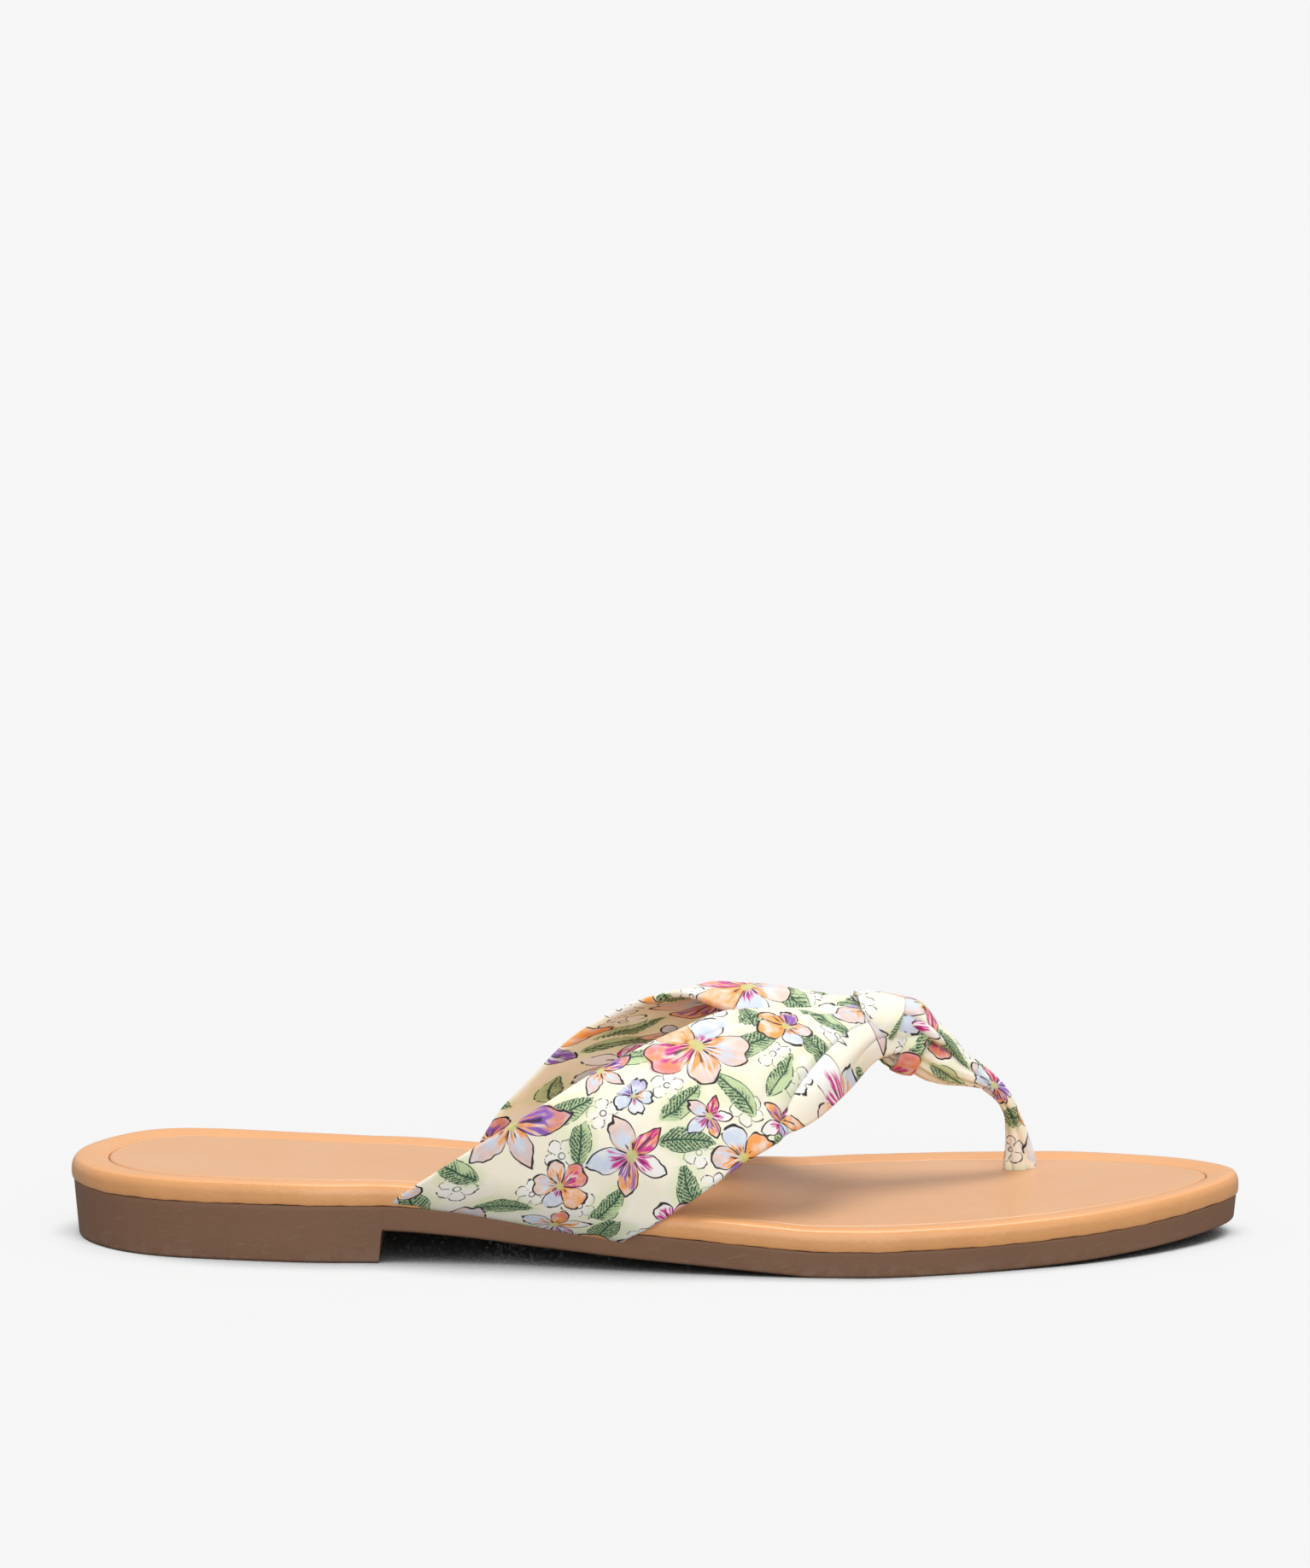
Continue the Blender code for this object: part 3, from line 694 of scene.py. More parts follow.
# %% [markdown]
# ## Laying the cloth out flat
#
# A print is drawn on flat cloth, so each leg is unrolled: its ribs are laid in a plane one after
# the other, with the lengths that they have on the shoe. What comes out is a place in millimetres
# on the cloth for every point, and it serves twice. Creases are put where they are on the cloth,
# and the print keeps its size all over the strap.

# %% Unrolling a leg
def third_corner(a, b, from_a, from_b):
    """The point at two distances from a and b, on the left of the way from a to b."""
    way = b - a
    span = np.linalg.norm(way)
    along_way = (from_a ** 2 - from_b ** 2 + span ** 2) / (2 * span)
    off_way = math.sqrt(max(from_a ** 2 - along_way ** 2, 0.0))
    ahead = way / span
    return a + ahead * along_way + np.array((-ahead[1], ahead[0])) * off_way


def distance(a, b):
    return float(np.linalg.norm(a - b))


def unroll(back, front):
    """Flat places of the rib ends, each triangle between two ribs with its true sides."""
    b, f = np.array((0.0, 0.0)), np.array((distance(back[0], front[0]), 0.0))
    flat_back, flat_front = [b], [f]
    for last_back, last_front, new_back, new_front in zip(back, front, back[1:], front[1:]):
        b = third_corner(b, f, distance(new_back, last_back), distance(new_back, last_front))
        f = third_corner(b, f, distance(new_front, new_back), distance(new_front, last_front))
        flat_back.append(b)
        flat_front.append(f)
    return np.array(flat_back), np.array(flat_front)

# %% [markdown]
# ## Pleats and creases
#
# Two kinds of fold shape the cloth. A pleat is a trough that grows towards the knot, where the
# cloth is gathered: its row says where across the band it lies at the knot and where it runs out.
# A crease is a soft line between two places on the band. Both are set from the look of the
# real strap, in shares of the band and millimetres of depth, and a negative depth is a ridge.

# %% Folds of the legs
PLEAT_COLUMNS = ("at_knot", "at_start", "start", "width", "depth", "slide")
OUTER_PLEATS = (
    (0.52, 0.96, 0.64, 1.4, 3.5, 2.8),
    (0.30, 0.10, 0.58, 1.0, 2.2, 2.0),
    (0.76, 0.90, 0.88, 1.0, 0.6, 0.3),
)
INNER_PLEATS = (
    (0.38, 0.52, 0.72, 2.0, 1.8, 0.6),
    (0.72, 0.80, 0.76, 1.8, 1.5, 0.4),
    (0.14, 0.16, 0.78, 1.3, 0.8, 0.2),
)
CREASE_COLUMNS = ("run_a", "share_a", "run_b", "share_b", "width", "depth")
CREASE_FADE = 0.3
WIDE_BAND = 30.0
NARROW_BAND = 22.0
OUTER_CREASES = (
    (0.98, 0.25, 0.72, 0.45, 2.6, 0.5),
    (0.98, 0.10, 0.80, 0.12, 1.8, -0.4),
    (0.98, 0.70, 0.72, 0.93, 2.4, -1.0),
    (0.86, 0.50, 0.62, 0.80, 1.2, 0.35),
    (0.60, 0.55, 0.34, 0.78, 5.0, 0.35),
    (0.62, 0.30, 0.40, 0.35, 6.0, -0.30),
    (0.30, 0.15, 0.15, 0.30, 4.0, 0.25),
)
INNER_CREASES = (
    (0.56, 0.10, 0.48, 0.60, 2.6, 0.9),
    (0.66, 0.05, 0.60, 0.45, 2.2, 0.8),
    (0.72, 0.08, 0.70, 0.50, 2.0, -0.7),
    (0.40, 0.10, 0.36, 0.70, 3.0, 0.5),
    (0.30, 0.20, 0.24, 0.85, 3.5, -0.5),
)


def leg_flat(flat_back, flat_front, row, share):
    """Flat place of a point on a leg; row counts ribs and may fall between two."""
    rows = np.arange(len(flat_back))
    back, front = (
        np.array([np.interp(row, rows, column) for column in ends.T])
        for ends in (flat_back, flat_front)
    )
    return back + (front - back) * share


def fold_depths(runs, flats, flat_back, flat_front, pleats, creases):
    """Depth of the folds at every point, and how far the pleats push the cloth over themselves."""
    widths = np.linalg.norm(flat_front - flat_back, axis=1)[:, None]
    shares = np.linspace(0.0, 1.0, flats.shape[1])[None, :]
    depth = np.zeros(flats.shape[:2])
    slide = np.zeros(flats.shape[:2])
    for row in pleats:
        pleat = dict(zip(PLEAT_COLUMNS, row))
        grown = np.clip((runs - pleat["start"]) / (1.0 - pleat["start"]), 0.0, 1.0)[:, None]
        centre = pleat["at_start"] + (pleat["at_knot"] - pleat["at_start"]) * grown
        width = pleat["width"] * np.clip(widths / WIDE_BAND, 0.45, 1.0)
        off = (shares - centre) * widths / width
        strength = grown ** 0.6 * np.clip(widths / NARROW_BAND, 0.3, 1.0)
        depth += pleat["depth"] * strength * np.exp(-off ** 2)
        slide += pleat["slide"] * strength * np.exp(-((off - 1.3) / 1.2) ** 2)
    for row in creases:
        crease = dict(zip(CREASE_COLUMNS, row))
        ends = []
        for end in ("a", "b"):
            at = np.interp(crease["run_" + end], runs, np.arange(len(runs)))
            ends.append(leg_flat(flat_back, flat_front, at, crease["share_" + end]))
        way = ends[1] - ends[0]
        reach = np.linalg.norm(way)
        way /= reach
        rel = flats - ends[0]
        along_way = rel @ way
        off = rel @ np.array((-way[1], way[0])) / crease["width"]
        fade = CREASE_FADE * reach
        from_a = np.clip(along_way / fade + 0.5, 0, 1)
        from_b = np.clip((reach - along_way) / fade + 0.5, 0, 1)
        depth += crease["depth"] * from_a * from_b * np.exp(-off ** 2)
    return depth, slide


print(len(OUTER_PLEATS + INNER_PLEATS), "pleats,", len(OUTER_CREASES + INNER_CREASES), "creases")

# %% [markdown]
# ## A sheet with two sides
#
# The legs are doubled cloth with folded edges, so each has an outer face, an inner face and a round
# edge between them. One closed section goes round: inner face, back edge, outer face, front edge.
# The cloth's flat place runs on round the back edge, as it does on the real strap, where the same
# piece of cloth is turned over.

# %% Building a leg
def cloth_section(mid, normal, flat, ahead):
    """The closed section of each rib and the flat place of each of its points."""
    half = 0.5 * CLOTH_WALL
    lining = np.linspace(mid.shape[1] - 1, 0, LINING_COLUMNS).round().astype(int)
    points = [mid[:, lining] - normal[:, lining] * half]
    flats = [2 * flat[:, :1] - flat[:, lining] - ahead[:, None] * math.pi * half]
    turns = np.linspace(0.0, math.pi, EDGE_STEPS + 2)[1:-1]
    for turn in turns:
        outward = unit(mid[:, 0] - mid[:, 1]) * math.sin(turn) - normal[:, 0] * math.cos(turn)
        points.append((mid[:, 0] + outward * half)[:, None])
        flats.append((flat[:, 0] - ahead * (math.pi - turn) * half)[:, None])
    points.append(mid + normal * half)
    flats.append(flat)
    for turn in turns:
        outward = unit(mid[:, -1] - mid[:, -2]) * math.sin(turn) + normal[:, -1] * math.cos(turn)
        points.append((mid[:, -1] + outward * half)[:, None])
        flats.append((flat[:, -1] + ahead * turn * half)[:, None])
    points = np.concatenate(points, axis=1)
    flats = np.concatenate(flats, axis=1)
    last = flats[:, -1:] + ahead[:, None] * 0.5
    return points, np.concatenate((flats, last), axis=1)


def folded_sheet(ribs, pleats, creases):
    """Middle surface of a leg from its lowest rib to the knot, and its flat places."""
    shares = np.linspace(0.0, 1.0, LEG_COLUMNS + 1)
    runs = np.linspace(ribs["run"][0], ribs["run"][-1], LEG_ROWS)
    back, front = rib_edges(ribs, runs)
    middle = 0.5 * (back + front)
    outward = unit(np.cross(front - back, np.gradient(middle, axis=0)))
    inside = place(along_at(middle[:, 0]), np.full(len(runs), INSIDE_ACROSS), 0.0)
    outward *= np.sign(np.sum(outward * (middle - inside), axis=1))[:, None]
    flat_back, flat_front = unroll(back, front)
    flats = flat_back[:, None] + (flat_front - flat_back)[:, None] * shares[None, :, None]
    depth, slide = fold_depths(runs, flats, flat_back, flat_front, pleats, creases)
    bulge = look_up(ribs, "bulge", runs, "run")[:, None] * STRAP_RISE
    lift = bulge * 4 * shares * (1 - shares) - depth
    grid = back[:, None] + (front - back)[:, None] * shares[None, :, None]
    grid += outward[:, None] * lift[..., None] - unit(front - back)[:, None] * slide[..., None]
    return grid, flats


def tail_rows(side, base_back, base_front, lean):
    """Rows of the tail between footbed and outsole, its hidden end first."""
    shares = np.linspace(0.0, 1.0, LEG_COLUMNS + 1)
    along = base_back + shares * (base_front - base_back)
    height = outsole_top(along) - (TAIL_SINK[0] + (TAIL_SINK[1] - TAIL_SINK[0]) * shares)
    rows = []
    for inset, rise in TAIL:
        turn = np.arccos(1 - 2 * (along + lean * rise / LENGTH))
        flat_edge = edge_points(turn, np.full(len(turn), side), np.full(len(turn), inset))
        rows.append(np.column_stack((flat_edge, height + 0.5 * CLOTH_WALL + rise)))
    return np.array(rows)


def leg_grid(side, ribs, pleats, creases, base):
    """Middle surface of a whole leg, tail first and eased over the bend, and its flat places."""
    grid, flats = folded_sheet(ribs, pleats, creases)
    tails = tail_rows(side, *base)
    grid = np.concatenate((tails, grid))
    steps = np.linalg.norm(np.diff(grid[:len(tails) + 1], axis=0), axis=-1).mean(axis=1)
    before = np.cumsum(steps[::-1])[::-1]
    flats = np.concatenate((flats[0] - np.array((0.0, 1.0)) * before[:, None, None], flats))
    low, high = len(tails) - 1, len(tails) + BASE_ROWS
    for _ in range(BASE_PASSES):
        for layer in (grid, flats):
            bend = layer[low:high]
            bend += 0.25 * (layer[low - 1:high - 1] - 2 * bend + layer[low + 1:high + 1])
    return grid, flats


def make_leg(name, side, *shape):
    grid, flat = leg_grid(side, *shape)
    normal = unit(np.cross(np.gradient(grid, axis=0), np.gradient(grid, axis=1)))
    if normal[len(grid) // 3, grid.shape[1] // 2, 1] * side < 0:
        normal = -normal
    return make_cloth(name, *cloth_section(grid, normal, flat, unit(flat[:, -1] - flat[:, 0])))


def make_cloth(name, points, flats):
    """A closed piece from a grid of sections, with the flat place of every corner as its UV map."""
    rows, count = points.shape[:2]
    faces = stack_faces(rows, count).tolist()
    faces += [list(range(count))[::-1], list(range((rows - 1) * count, rows * count))]
    j, i = np.meshgrid(np.arange(rows - 1), np.arange(count), indexing="ij")
    corners = np.stack((flats[j, i], flats[j, i + 1], flats[j + 1, i + 1], flats[j + 1, i]), axis=2)
    ends = (flats[0, :count][::-1], flats[-1, :count])
    return make_piece(
        name, points.reshape(-1, 3), faces, np.concatenate((corners.reshape(-1, 2), *ends))
    )


outer_leg = make_leg("strap_outer_leg", -1, OUTER_RIBS, OUTER_PLEATS, OUTER_CREASES, OUTER_BASE)
inner_leg = make_leg("strap_inner_leg", 1, INNER_RIBS, INNER_PLEATS, INNER_CREASES, INNER_BASE)

# %% [markdown]
# ## Knot and post
#
# At the knot the gathered band goes through a loop of its own cloth, and comes out in two strands
# that run together into the post. Each strand is a tube with an oval section. Folds run along it as
# narrow troughs, so a table gives their angle at the start and at the end.

# %% Tubes of the knot
# Each row of a tube: along, across, up, tall, wide
CORE = (
    (0.668, 0.150, 0.850, 0.20, 0.26),
    (0.690, 0.165, 0.850, 0.37, 0.46),
    (0.708, 0.172, 0.830, 0.39, 0.48),
    (0.722, 0.178, 0.800, 0.34, 0.44),
    (0.735, 0.184, 0.760, 0.22, 0.34),
)
UPPER_STRAND = (
    (0.690, 0.168, 0.925, 0.19, 0.42),
    (0.720, 0.181, 0.895, 0.19, 0.42),
    (0.734, 0.192, 0.815, 0.17, 0.38),
    (0.750, 0.204, 0.728, 0.14, 0.33),
    (0.766, 0.216, 0.625, 0.11, 0.28),
    (0.783, 0.227, 0.535, 0.10, 0.26),
)
LOWER_STRAND = (
    (0.696, 0.160, 0.735, 0.17, 0.30),
    (0.706, 0.166, 0.700, 0.24, 0.36),
    (0.720, 0.173, 0.690, 0.26, 0.40),
    (0.740, 0.186, 0.625, 0.27, 0.40),
    (0.755, 0.201, 0.575, 0.21, 0.35),
    (0.768, 0.212, 0.545, 0.16, 0.30),
    (0.783, 0.227, 0.505, 0.11, 0.26),
)
FRONT_FOLD = (
    (0.700, 0.118, 0.850, 0.04, 0.05),
    (0.710, 0.116, 0.862, 0.075, 0.10),
    (0.722, 0.116, 0.858, 0.085, 0.12),
    (0.733, 0.124, 0.822, 0.080, 0.12),
    (0.743, 0.140, 0.772, 0.060, 0.10),
    (0.750, 0.158, 0.735, 0.03, 0.05),
)
POST_WIDTH = 6.4
POST_DEPTH = 4.6
POST = (
    (0.774, 0.220, 0.575, 0.34, 0.90),
    (0.790, 0.231, 0.492, 0.33, 0.88),
    (0.801, 0.243, 0.420, 0.29, 0.82),
    (0.809, 0.255, 0.327, 0.26, 0.74),
    (0.8135, 0.264, 0.225, 0.35, 0.64),
    (0.8165, 0.271, 0.123, 0.46, 0.57),
    (0.8175, 0.275, 0.030, 0.55, 0.51),
    (0.816, 0.275, -0.050, 0.50, 0.50),
)
TUBE_STEPS = 14
TUBE_SIDES = 96
THIN_TUBE = 3.0

VALLEY_COLUMNS = ("angle_a", "angle_b", "width", "depth")
UPPER_VALLEYS = ((250, 235, 22, 0.7), (310, 300, 16, 0.5), (200, 205, 18, 0.5), (20, 30, 20, 0.4))
LOWER_VALLEYS = (
    (170, 205, 11, 1.1),
    (200, 236, 10, 0.9),
    (245, 258, 9, 0.7),
    (290, 285, 11, 0.8),
    (335, 320, 12, 0.5),
)
POST_VALLEYS = ((235, 128, 12, 1.3), (285, 205, 10, 0.5), (90, 60, 14, 0.4))


TUBES = (
    ("knot_core", CORE, KNOT_SIZE, KNOT_SIZE, (), (0, 0.0), (10.0, 30.0)),
    ("knot_strand", UPPER_STRAND, KNOT_SIZE, KNOT_SIZE, UPPER_VALLEYS, (9, 0.012), (31.0, 8.0)),
    ("knot_bundle", LOWER_STRAND, KNOT_SIZE, KNOT_SIZE, LOWER_VALLEYS, (11, 0.015), (4.0, 40.0)),
    ("knot_fold", FRONT_FOLD, KNOT_SIZE, KNOT_SIZE, (), (0, 0.0), (36.0, 9.0)),
    ("toe_post", POST, POST_WIDTH, POST_DEPTH, POST_VALLEYS, (0, 0.0), (26.0, 44.0)),
)


def side_and_up(run):
    """Two directions square to a run: one across the shoe and one away from the sole."""
    sideways = unit(np.array((0.0, 1.0, 0.0)) - run * run[..., 1:2])
    return sideways, np.cross(run, sideways)


def trough_depths(valleys, angle, share):
    """Depth of the troughs of a tube at every angle and share of its length."""
    drop = np.zeros((len(share), len(angle)))
    for row in valleys:
        valley = dict(zip(VALLEY_COLUMNS, row))
        lies = np.radians(valley["angle_a"] + (valley["angle_b"] - valley["angle_a"]) * share)
        off = (angle[None] - lies + math.pi) % (2 * math.pi) - math.pi
        drop += valley["depth"] * np.exp(-(off / math.radians(valley["width"])) ** 2)
    return drop


def make_tube(name, table, tall_size, wide_size, valleys, gathers, laid):
    """A tube of oval sections with troughs; its flat places start at laid."""
    rows = np.arange(len(table))
    at = np.linspace(0, rows[-1], rows[-1] * TUBE_STEPS + 1)
    along, across, up, tall, wide = (curve_through(rows, column, at) for column in zip(*table))
    centre, tall, wide = place(along, across, up), tall * tall_size, wide * wide_size
    sideways, upward = side_and_up(unit(np.gradient(centre, axis=0)))
    angle = np.linspace(0, 2 * math.pi, TUBE_SIDES, endpoint=False)
    share = np.linspace(0, 1, len(centre))[:, None]
    drop = trough_depths(valleys, angle, share)
    fine = 1 + gathers[1] * np.cos(gathers[0] * angle[None] + 2.0 * share)
    wide_at, tall_at = (
        (size - drop * np.minimum(1, size / THIN_TUBE)) * fine
        for size in (wide[:, None], tall[:, None])
    )
    points = (
        centre[:, None]
        + sideways[:, None] * (wide_at * np.cos(angle))[..., None]
        + upward[:, None] * (tall_at * np.sin(angle))[..., None]
    )
    length = np.concatenate(([0.0], np.cumsum(np.linalg.norm(np.diff(centre, axis=0), axis=1))))
    girth = math.pi * (tall.mean() + wide.mean())
    return make_cloth(name, points, flat_grid(length, girth, TUBE_SIDES, laid))


def flat_grid(u, girth, sides, laid):
    """Flat places of a rolled piece: u along it and girth round it, from laid on."""
    v = np.linspace(0, girth, sides + 1)
    return np.stack(np.meshgrid(u + laid[0], v + laid[1], indexing="ij"), axis=-1)


core, *strands = [make_tube(*row) for row in TUBES]

# %% [markdown]
# ## The loop round the gathers
#
# Two loops hold the gathers, a wide one behind and a narrow one low in front of it. Each is a flat
# band of the same cloth, wide on top and pulled narrow underneath: a closed ring of flat sections
# with raised hems, on an axis that dips towards the toe.

# %% Loops of the knot
LOOP_COLUMNS = ("along", "across", "up", "wide", "tall", "width", "taper", "thick", "dip")
LOOPS = (
    ("knot_loop", (0.6900, 0.165, 0.842, 0.52, 0.372, 10.6, 0.36, 1.7, -0.14), (5.0, 20.0)),
    ("knot_loop_lower", (0.7175, 0.170, 0.718, 0.46, 0.33, 5.6, 0.10, 1.8, -0.30), (17.0, 35.0)),
)
LOOP_STATIONS = 150
LOOP_SIDES = 40
LOOP_WAY = (0.98, 0.10)
LOOP_GIRTH = 2.2
HEM = 0.45


def make_loop(name, row, laid):
    """A closed band on a slanting axis; its section is flat, with a thicker hem on both edges."""
    loop = dict(zip(LOOP_COLUMNS, row))
    axis = unit(np.array((*LOOP_WAY, loop["dip"])))
    sideways, upward = side_and_up(axis)
    angle = np.linspace(0, 2 * math.pi, LOOP_STATIONS, endpoint=False)[:, None]
    around = np.linspace(0, 2 * math.pi, LOOP_SIDES, endpoint=False)[None, :]
    cosine, sine = np.cos(angle)[..., None], np.sin(angle)[..., None]
    reach = sideways * (loop["wide"] * cosine) + upward * (loop["tall"] * sine)
    width = loop["width"] * (1 - loop["taper"] * (1 - np.sin(angle)))
    flat = np.sign(np.cos(around)) * abs(np.cos(around)) ** 0.8
    raised = 0.5 * loop["thick"] * (np.sin(around) + HEM * abs(flat) ** 6)
    points = (
        place(loop["along"], loop["across"], loop["up"])
        + reach * KNOT_SIZE
        + axis * (0.5 * width * flat)[..., None]
        + (sideways * cosine + upward * sine) * raised[..., None]
    )
    girth = math.pi * KNOT_SIZE * (loop["wide"] + loop["tall"])
    u = np.linspace(0, girth, LOOP_STATIONS + 1)
    flats = flat_grid(u, LOOP_GIRTH * loop["width"], LOOP_SIDES, laid)
    return make_cloth(name, np.concatenate((points, points[:1])), flats)


wraps = [make_loop(*row) for row in LOOPS]

# %% [markdown]
# ## Charting the print
#
# The cloth is printed with loosely drawn garden flowers. A chart says where each one lies on a
# square of cloth that repeats. Every face of the cloth then finds the motif nearest to it, and its
# corners keep their place inside that motif in an attribute. The shader only has to draw one flower
# round a centre, and it appears wherever the chart puts one, turned and sized by its row.

# %% The chart
CHART = np.array((66.0, 58.0))
# Each row: x, y, reach in millimetres, turn in degrees
BLOOMS = (
    (14, 15, 13.0, 20), (47, 42, 12.8, 75), (40, 14, 10.2, 130), (15, 43, 11.4, 310),
    (62, 20, 8.8, 200),
)
BUDS = (
    (29, 31, 7.6, 45), (27, 5, 6.8, 260), (53, 26, 6.2, 160), (31, 52, 7.2, 100),
    (63, 53, 7.4, 10), (2, 31, 6.0, 300), (52, 3, 6.0, 220), (37, 26, 4.6, 80),
)
LEAVES = (
    (25, 20, 6.0, 40), (29, 15, 5.6, 100), (4, 25, 6.4, 115), (10, 28, 6.0, 75),
    (50, 20, 6.0, 15), (47, 27, 6.0, 60), (57, 33, 6.4, 150), (35, 36, 6.2, 20),
    (26, 40, 6.0, 160), (24, 47, 5.6, 35), (58, 46, 6.6, 50), (56, 53, 6.0, 110),
    (3, 51, 6.2, 140), (5, 3, 5.8, 170), (40, 54, 6.2, 95), (38, 3, 5.6, 65),
    (53, 10, 5.8, 125), (19, 55, 5.4, 20), (64, 9, 5.2, 40), (65, 40, 5.6, 80),
)
SPRIGS = (
    (26, 11, 3.9, 0), (32, 21, 3.7, 40), (22, 30, 3.8, 80), (35, 43, 3.8, 120),
    (3, 40, 3.8, 20), (60, 30, 3.8, 60), (8, 57, 4.0, 15), (43, 30, 3.6, 95),
    (62, 44, 3.8, 30), (15, 29, 3.5, 70), (48, 55, 3.8, 110), (58, 12, 3.4, 10),
    (32, 60, 3.7, 55), (22, 2, 3.4, 35), (53, 18, 3.5, 75),
)
CHARTS = {"bloom": BLOOMS, "bud": BUDS, "leaf": LEAVES, "sprig": SPRIGS}


def motif_places(corners, motifs):
    """Place of each corner in its face's own motif, and a number for the motif and its size."""
    motifs = np.array(motifs, float)
    rel = corners.mean(axis=1)[:, None] - motifs[None, :, :2]
    shift = np.round(rel / CHART) * CHART
    near = (((rel - shift) ** 2).sum(axis=2) - motifs[:, 2] ** 2).argmin(axis=1)
    row = motifs[near]
    shift = shift[np.arange(len(near)), near]
    local = (corners - (row[:, :2] + shift)[:, None]) / row[:, 2][:, None, None]
    turn = np.radians(row[:, 3])[:, None]
    across = local[..., 0] * np.cos(turn) + local[..., 1] * np.sin(turn)
    up = local[..., 1] * np.cos(turn) - local[..., 0] * np.sin(turn)
    repeat = np.abs(shift / CHART) @ np.array((3.0, 7.0))
    number = near + len(motifs) * (repeat % 5) + row[:, 2] / 100
    return np.stack((across, up, np.broadcast_to(number[:, None], across.shape)), axis=-1)


def chart_print(piece):
    """Writes one attribute for each kind of motif on a piece, from its flat places."""
    mesh = piece.data
    flat = np.zeros(len(mesh.loops) * 2)
    mesh.uv_layers["cloth"].data.foreach_get("uv", flat)
    flat = flat.reshape(-1, 2)
    firsts = [face.loop_start for face in mesh.polygons if face.loop_total == 4]
    loops = np.array(firsts)[:, None] + np.arange(4)
    for name, motifs in CHARTS.items():
        values = np.zeros((len(flat), 3))
        values[loops] = motif_places(flat[loops], motifs)
        places = mesh.attributes.new(name, "FLOAT_VECTOR", "CORNER")
        places.data.foreach_set("vector", values.ravel())


cloth_pieces = [outer_leg, inner_leg, core, *strands, *wraps]
for piece in cloth_pieces:
    chart_print(piece)
print("charted", sum(len(motifs) for motifs in CHARTS.values()), "motifs a square")

# %% [markdown]
# ## Writing formulas as nodes
#
# A drawn flower needs a page of arithmetic. Written as separate Math nodes it can't be read, so a
# small class lets sockets stand in an ordinary formula: each sign makes one Math node and hands on
# its output. Numbers go straight into the node's own input.

# %% A socket that can do sums
class Sum:
    """A socket of a node tree that can be added, multiplied and compared like a number."""

    def __init__(self, tree, socket):
        self.tree = tree
        self.socket = socket

    def math(self, operation, *others):
        node = self.tree.nodes.new("ShaderNodeMath")
        node.operation = operation
        for target, value in zip(node.inputs, (self,) + others):
            feed(self.tree, value, target)
        return Sum(self.tree, node.outputs[0])

    __add__ = __radd__ = partialmethod(math, "ADD")
    __sub__ = partialmethod(math, "SUBTRACT")
    __rsub__ = partialmethod(math, "MULTIPLY_ADD", -1.0)
    __mul__ = __rmul__ = partialmethod(math, "MULTIPLY")
    __truediv__ = partialmethod(math, "DIVIDE")
    __pow__ = partialmethod(math, "POWER")
    __abs__ = partialmethod(math, "ABSOLUTE")
    floor = partialmethod(math, "FLOOR")
    part = partialmethod(math, "FRACT")
    at_least = partialmethod(math, "MAXIMUM")

    def over(self, edge, soft=0.02):
        """1 where the value is over the edge, 0 under it, with a soft change."""
        return Sum(self.tree, stretch(self.tree, self, edge - soft, edge + soft, way="SMOOTHSTEP"))

    def under(self, edge, soft=0.02):
        return 1.0 - self.over(edge, soft)


def texture(tree, kind, place, output, **settings):
    """One texture node, read at a place, or at a number where it has one dimension."""
    node = add_node(tree, kind, **settings)
    feed(tree, place, node.inputs["W" if settings.get("noise_dimensions") == "1D" else "Vector"])
    return Sum(tree, node.outputs[output])


def noise(tree, place, scale, detail=2.0):
    """Soft noise from 0 to 1, stretched so that it really reaches both."""
    found = texture(tree, "ShaderNodeTexNoise", place, "Fac", Scale=scale, Detail=detail)
    return (found - 0.5) * 1.8 + 0.5


def chance(tree, value):
    """A number from 0 to 1 that belongs to a whole number."""
    return texture(tree, "ShaderNodeTexWhiteNoise", value, "Value", noise_dimensions="1D")


def join(tree, x, y, z):
    return add_node(tree, "ShaderNodeCombineXYZ", X=x, Y=y, Z=z).outputs[0]


def split(tree, vector):
    node = add_node(tree, "ShaderNodeSeparateXYZ", Vector=vector)
    return [Sum(tree, socket) for socket in node.outputs]


def paint(tree, under, over, share):
    """Lays one colour over another; colours are sockets or linear values."""
    node = add_node(tree, "ShaderNodeMix", data_type="RGBA")
    inputs = {socket.identifier: socket for socket in node.inputs}
    for name, value in (("Factor_Float", share), ("A_Color", under), ("B_Color", over)):
        feed(tree, (*value, 1.0) if isinstance(value, tuple) else value, inputs[name])
    return next(socket for socket in node.outputs if socket.identifier == "Result_Color")


def new_group(name, inputs, outputs, kind="ShaderNodeTree"):
    """An empty node group; returns the tree, its inputs and its outputs by name."""
    tree = bpy.data.node_groups.new(name, kind)
    for way, sockets in (("INPUT", inputs), ("OUTPUT", outputs)):
        for socket_name, form in sockets.items():
            tree.interface.new_socket(socket_name, in_out=way, socket_type="NodeSocket" + form)
    entry = tree.nodes.new("NodeGroupInput")
    leave = tree.nodes.new("NodeGroupOutput")
    return tree, entry.outputs, leave.inputs


def place_group(tree, group, **inputs):
    return add_node(tree, "ShaderNodeGroup", node_tree=group, **inputs).outputs


def add_bump(tree, shader, height, distance, strength):
    bump = add_node(tree, "ShaderNodeBump", Strength=strength, Distance=distance, Height=height)
    tree.links.new(bump.outputs[0], shader.inputs["Normal"])

# %% [markdown]
# ## One flower
#
# A flower is drawn in polar places. The turn round the centre is cut into five petals, and the
# place across a petal gives how far out its rim lies. Chance belongs to the petal's number, so each
# petal has its own length and wash of colour. Over the wash come streaks from the heart outwards,
# and last a broken pen line that follows the rim loosely.

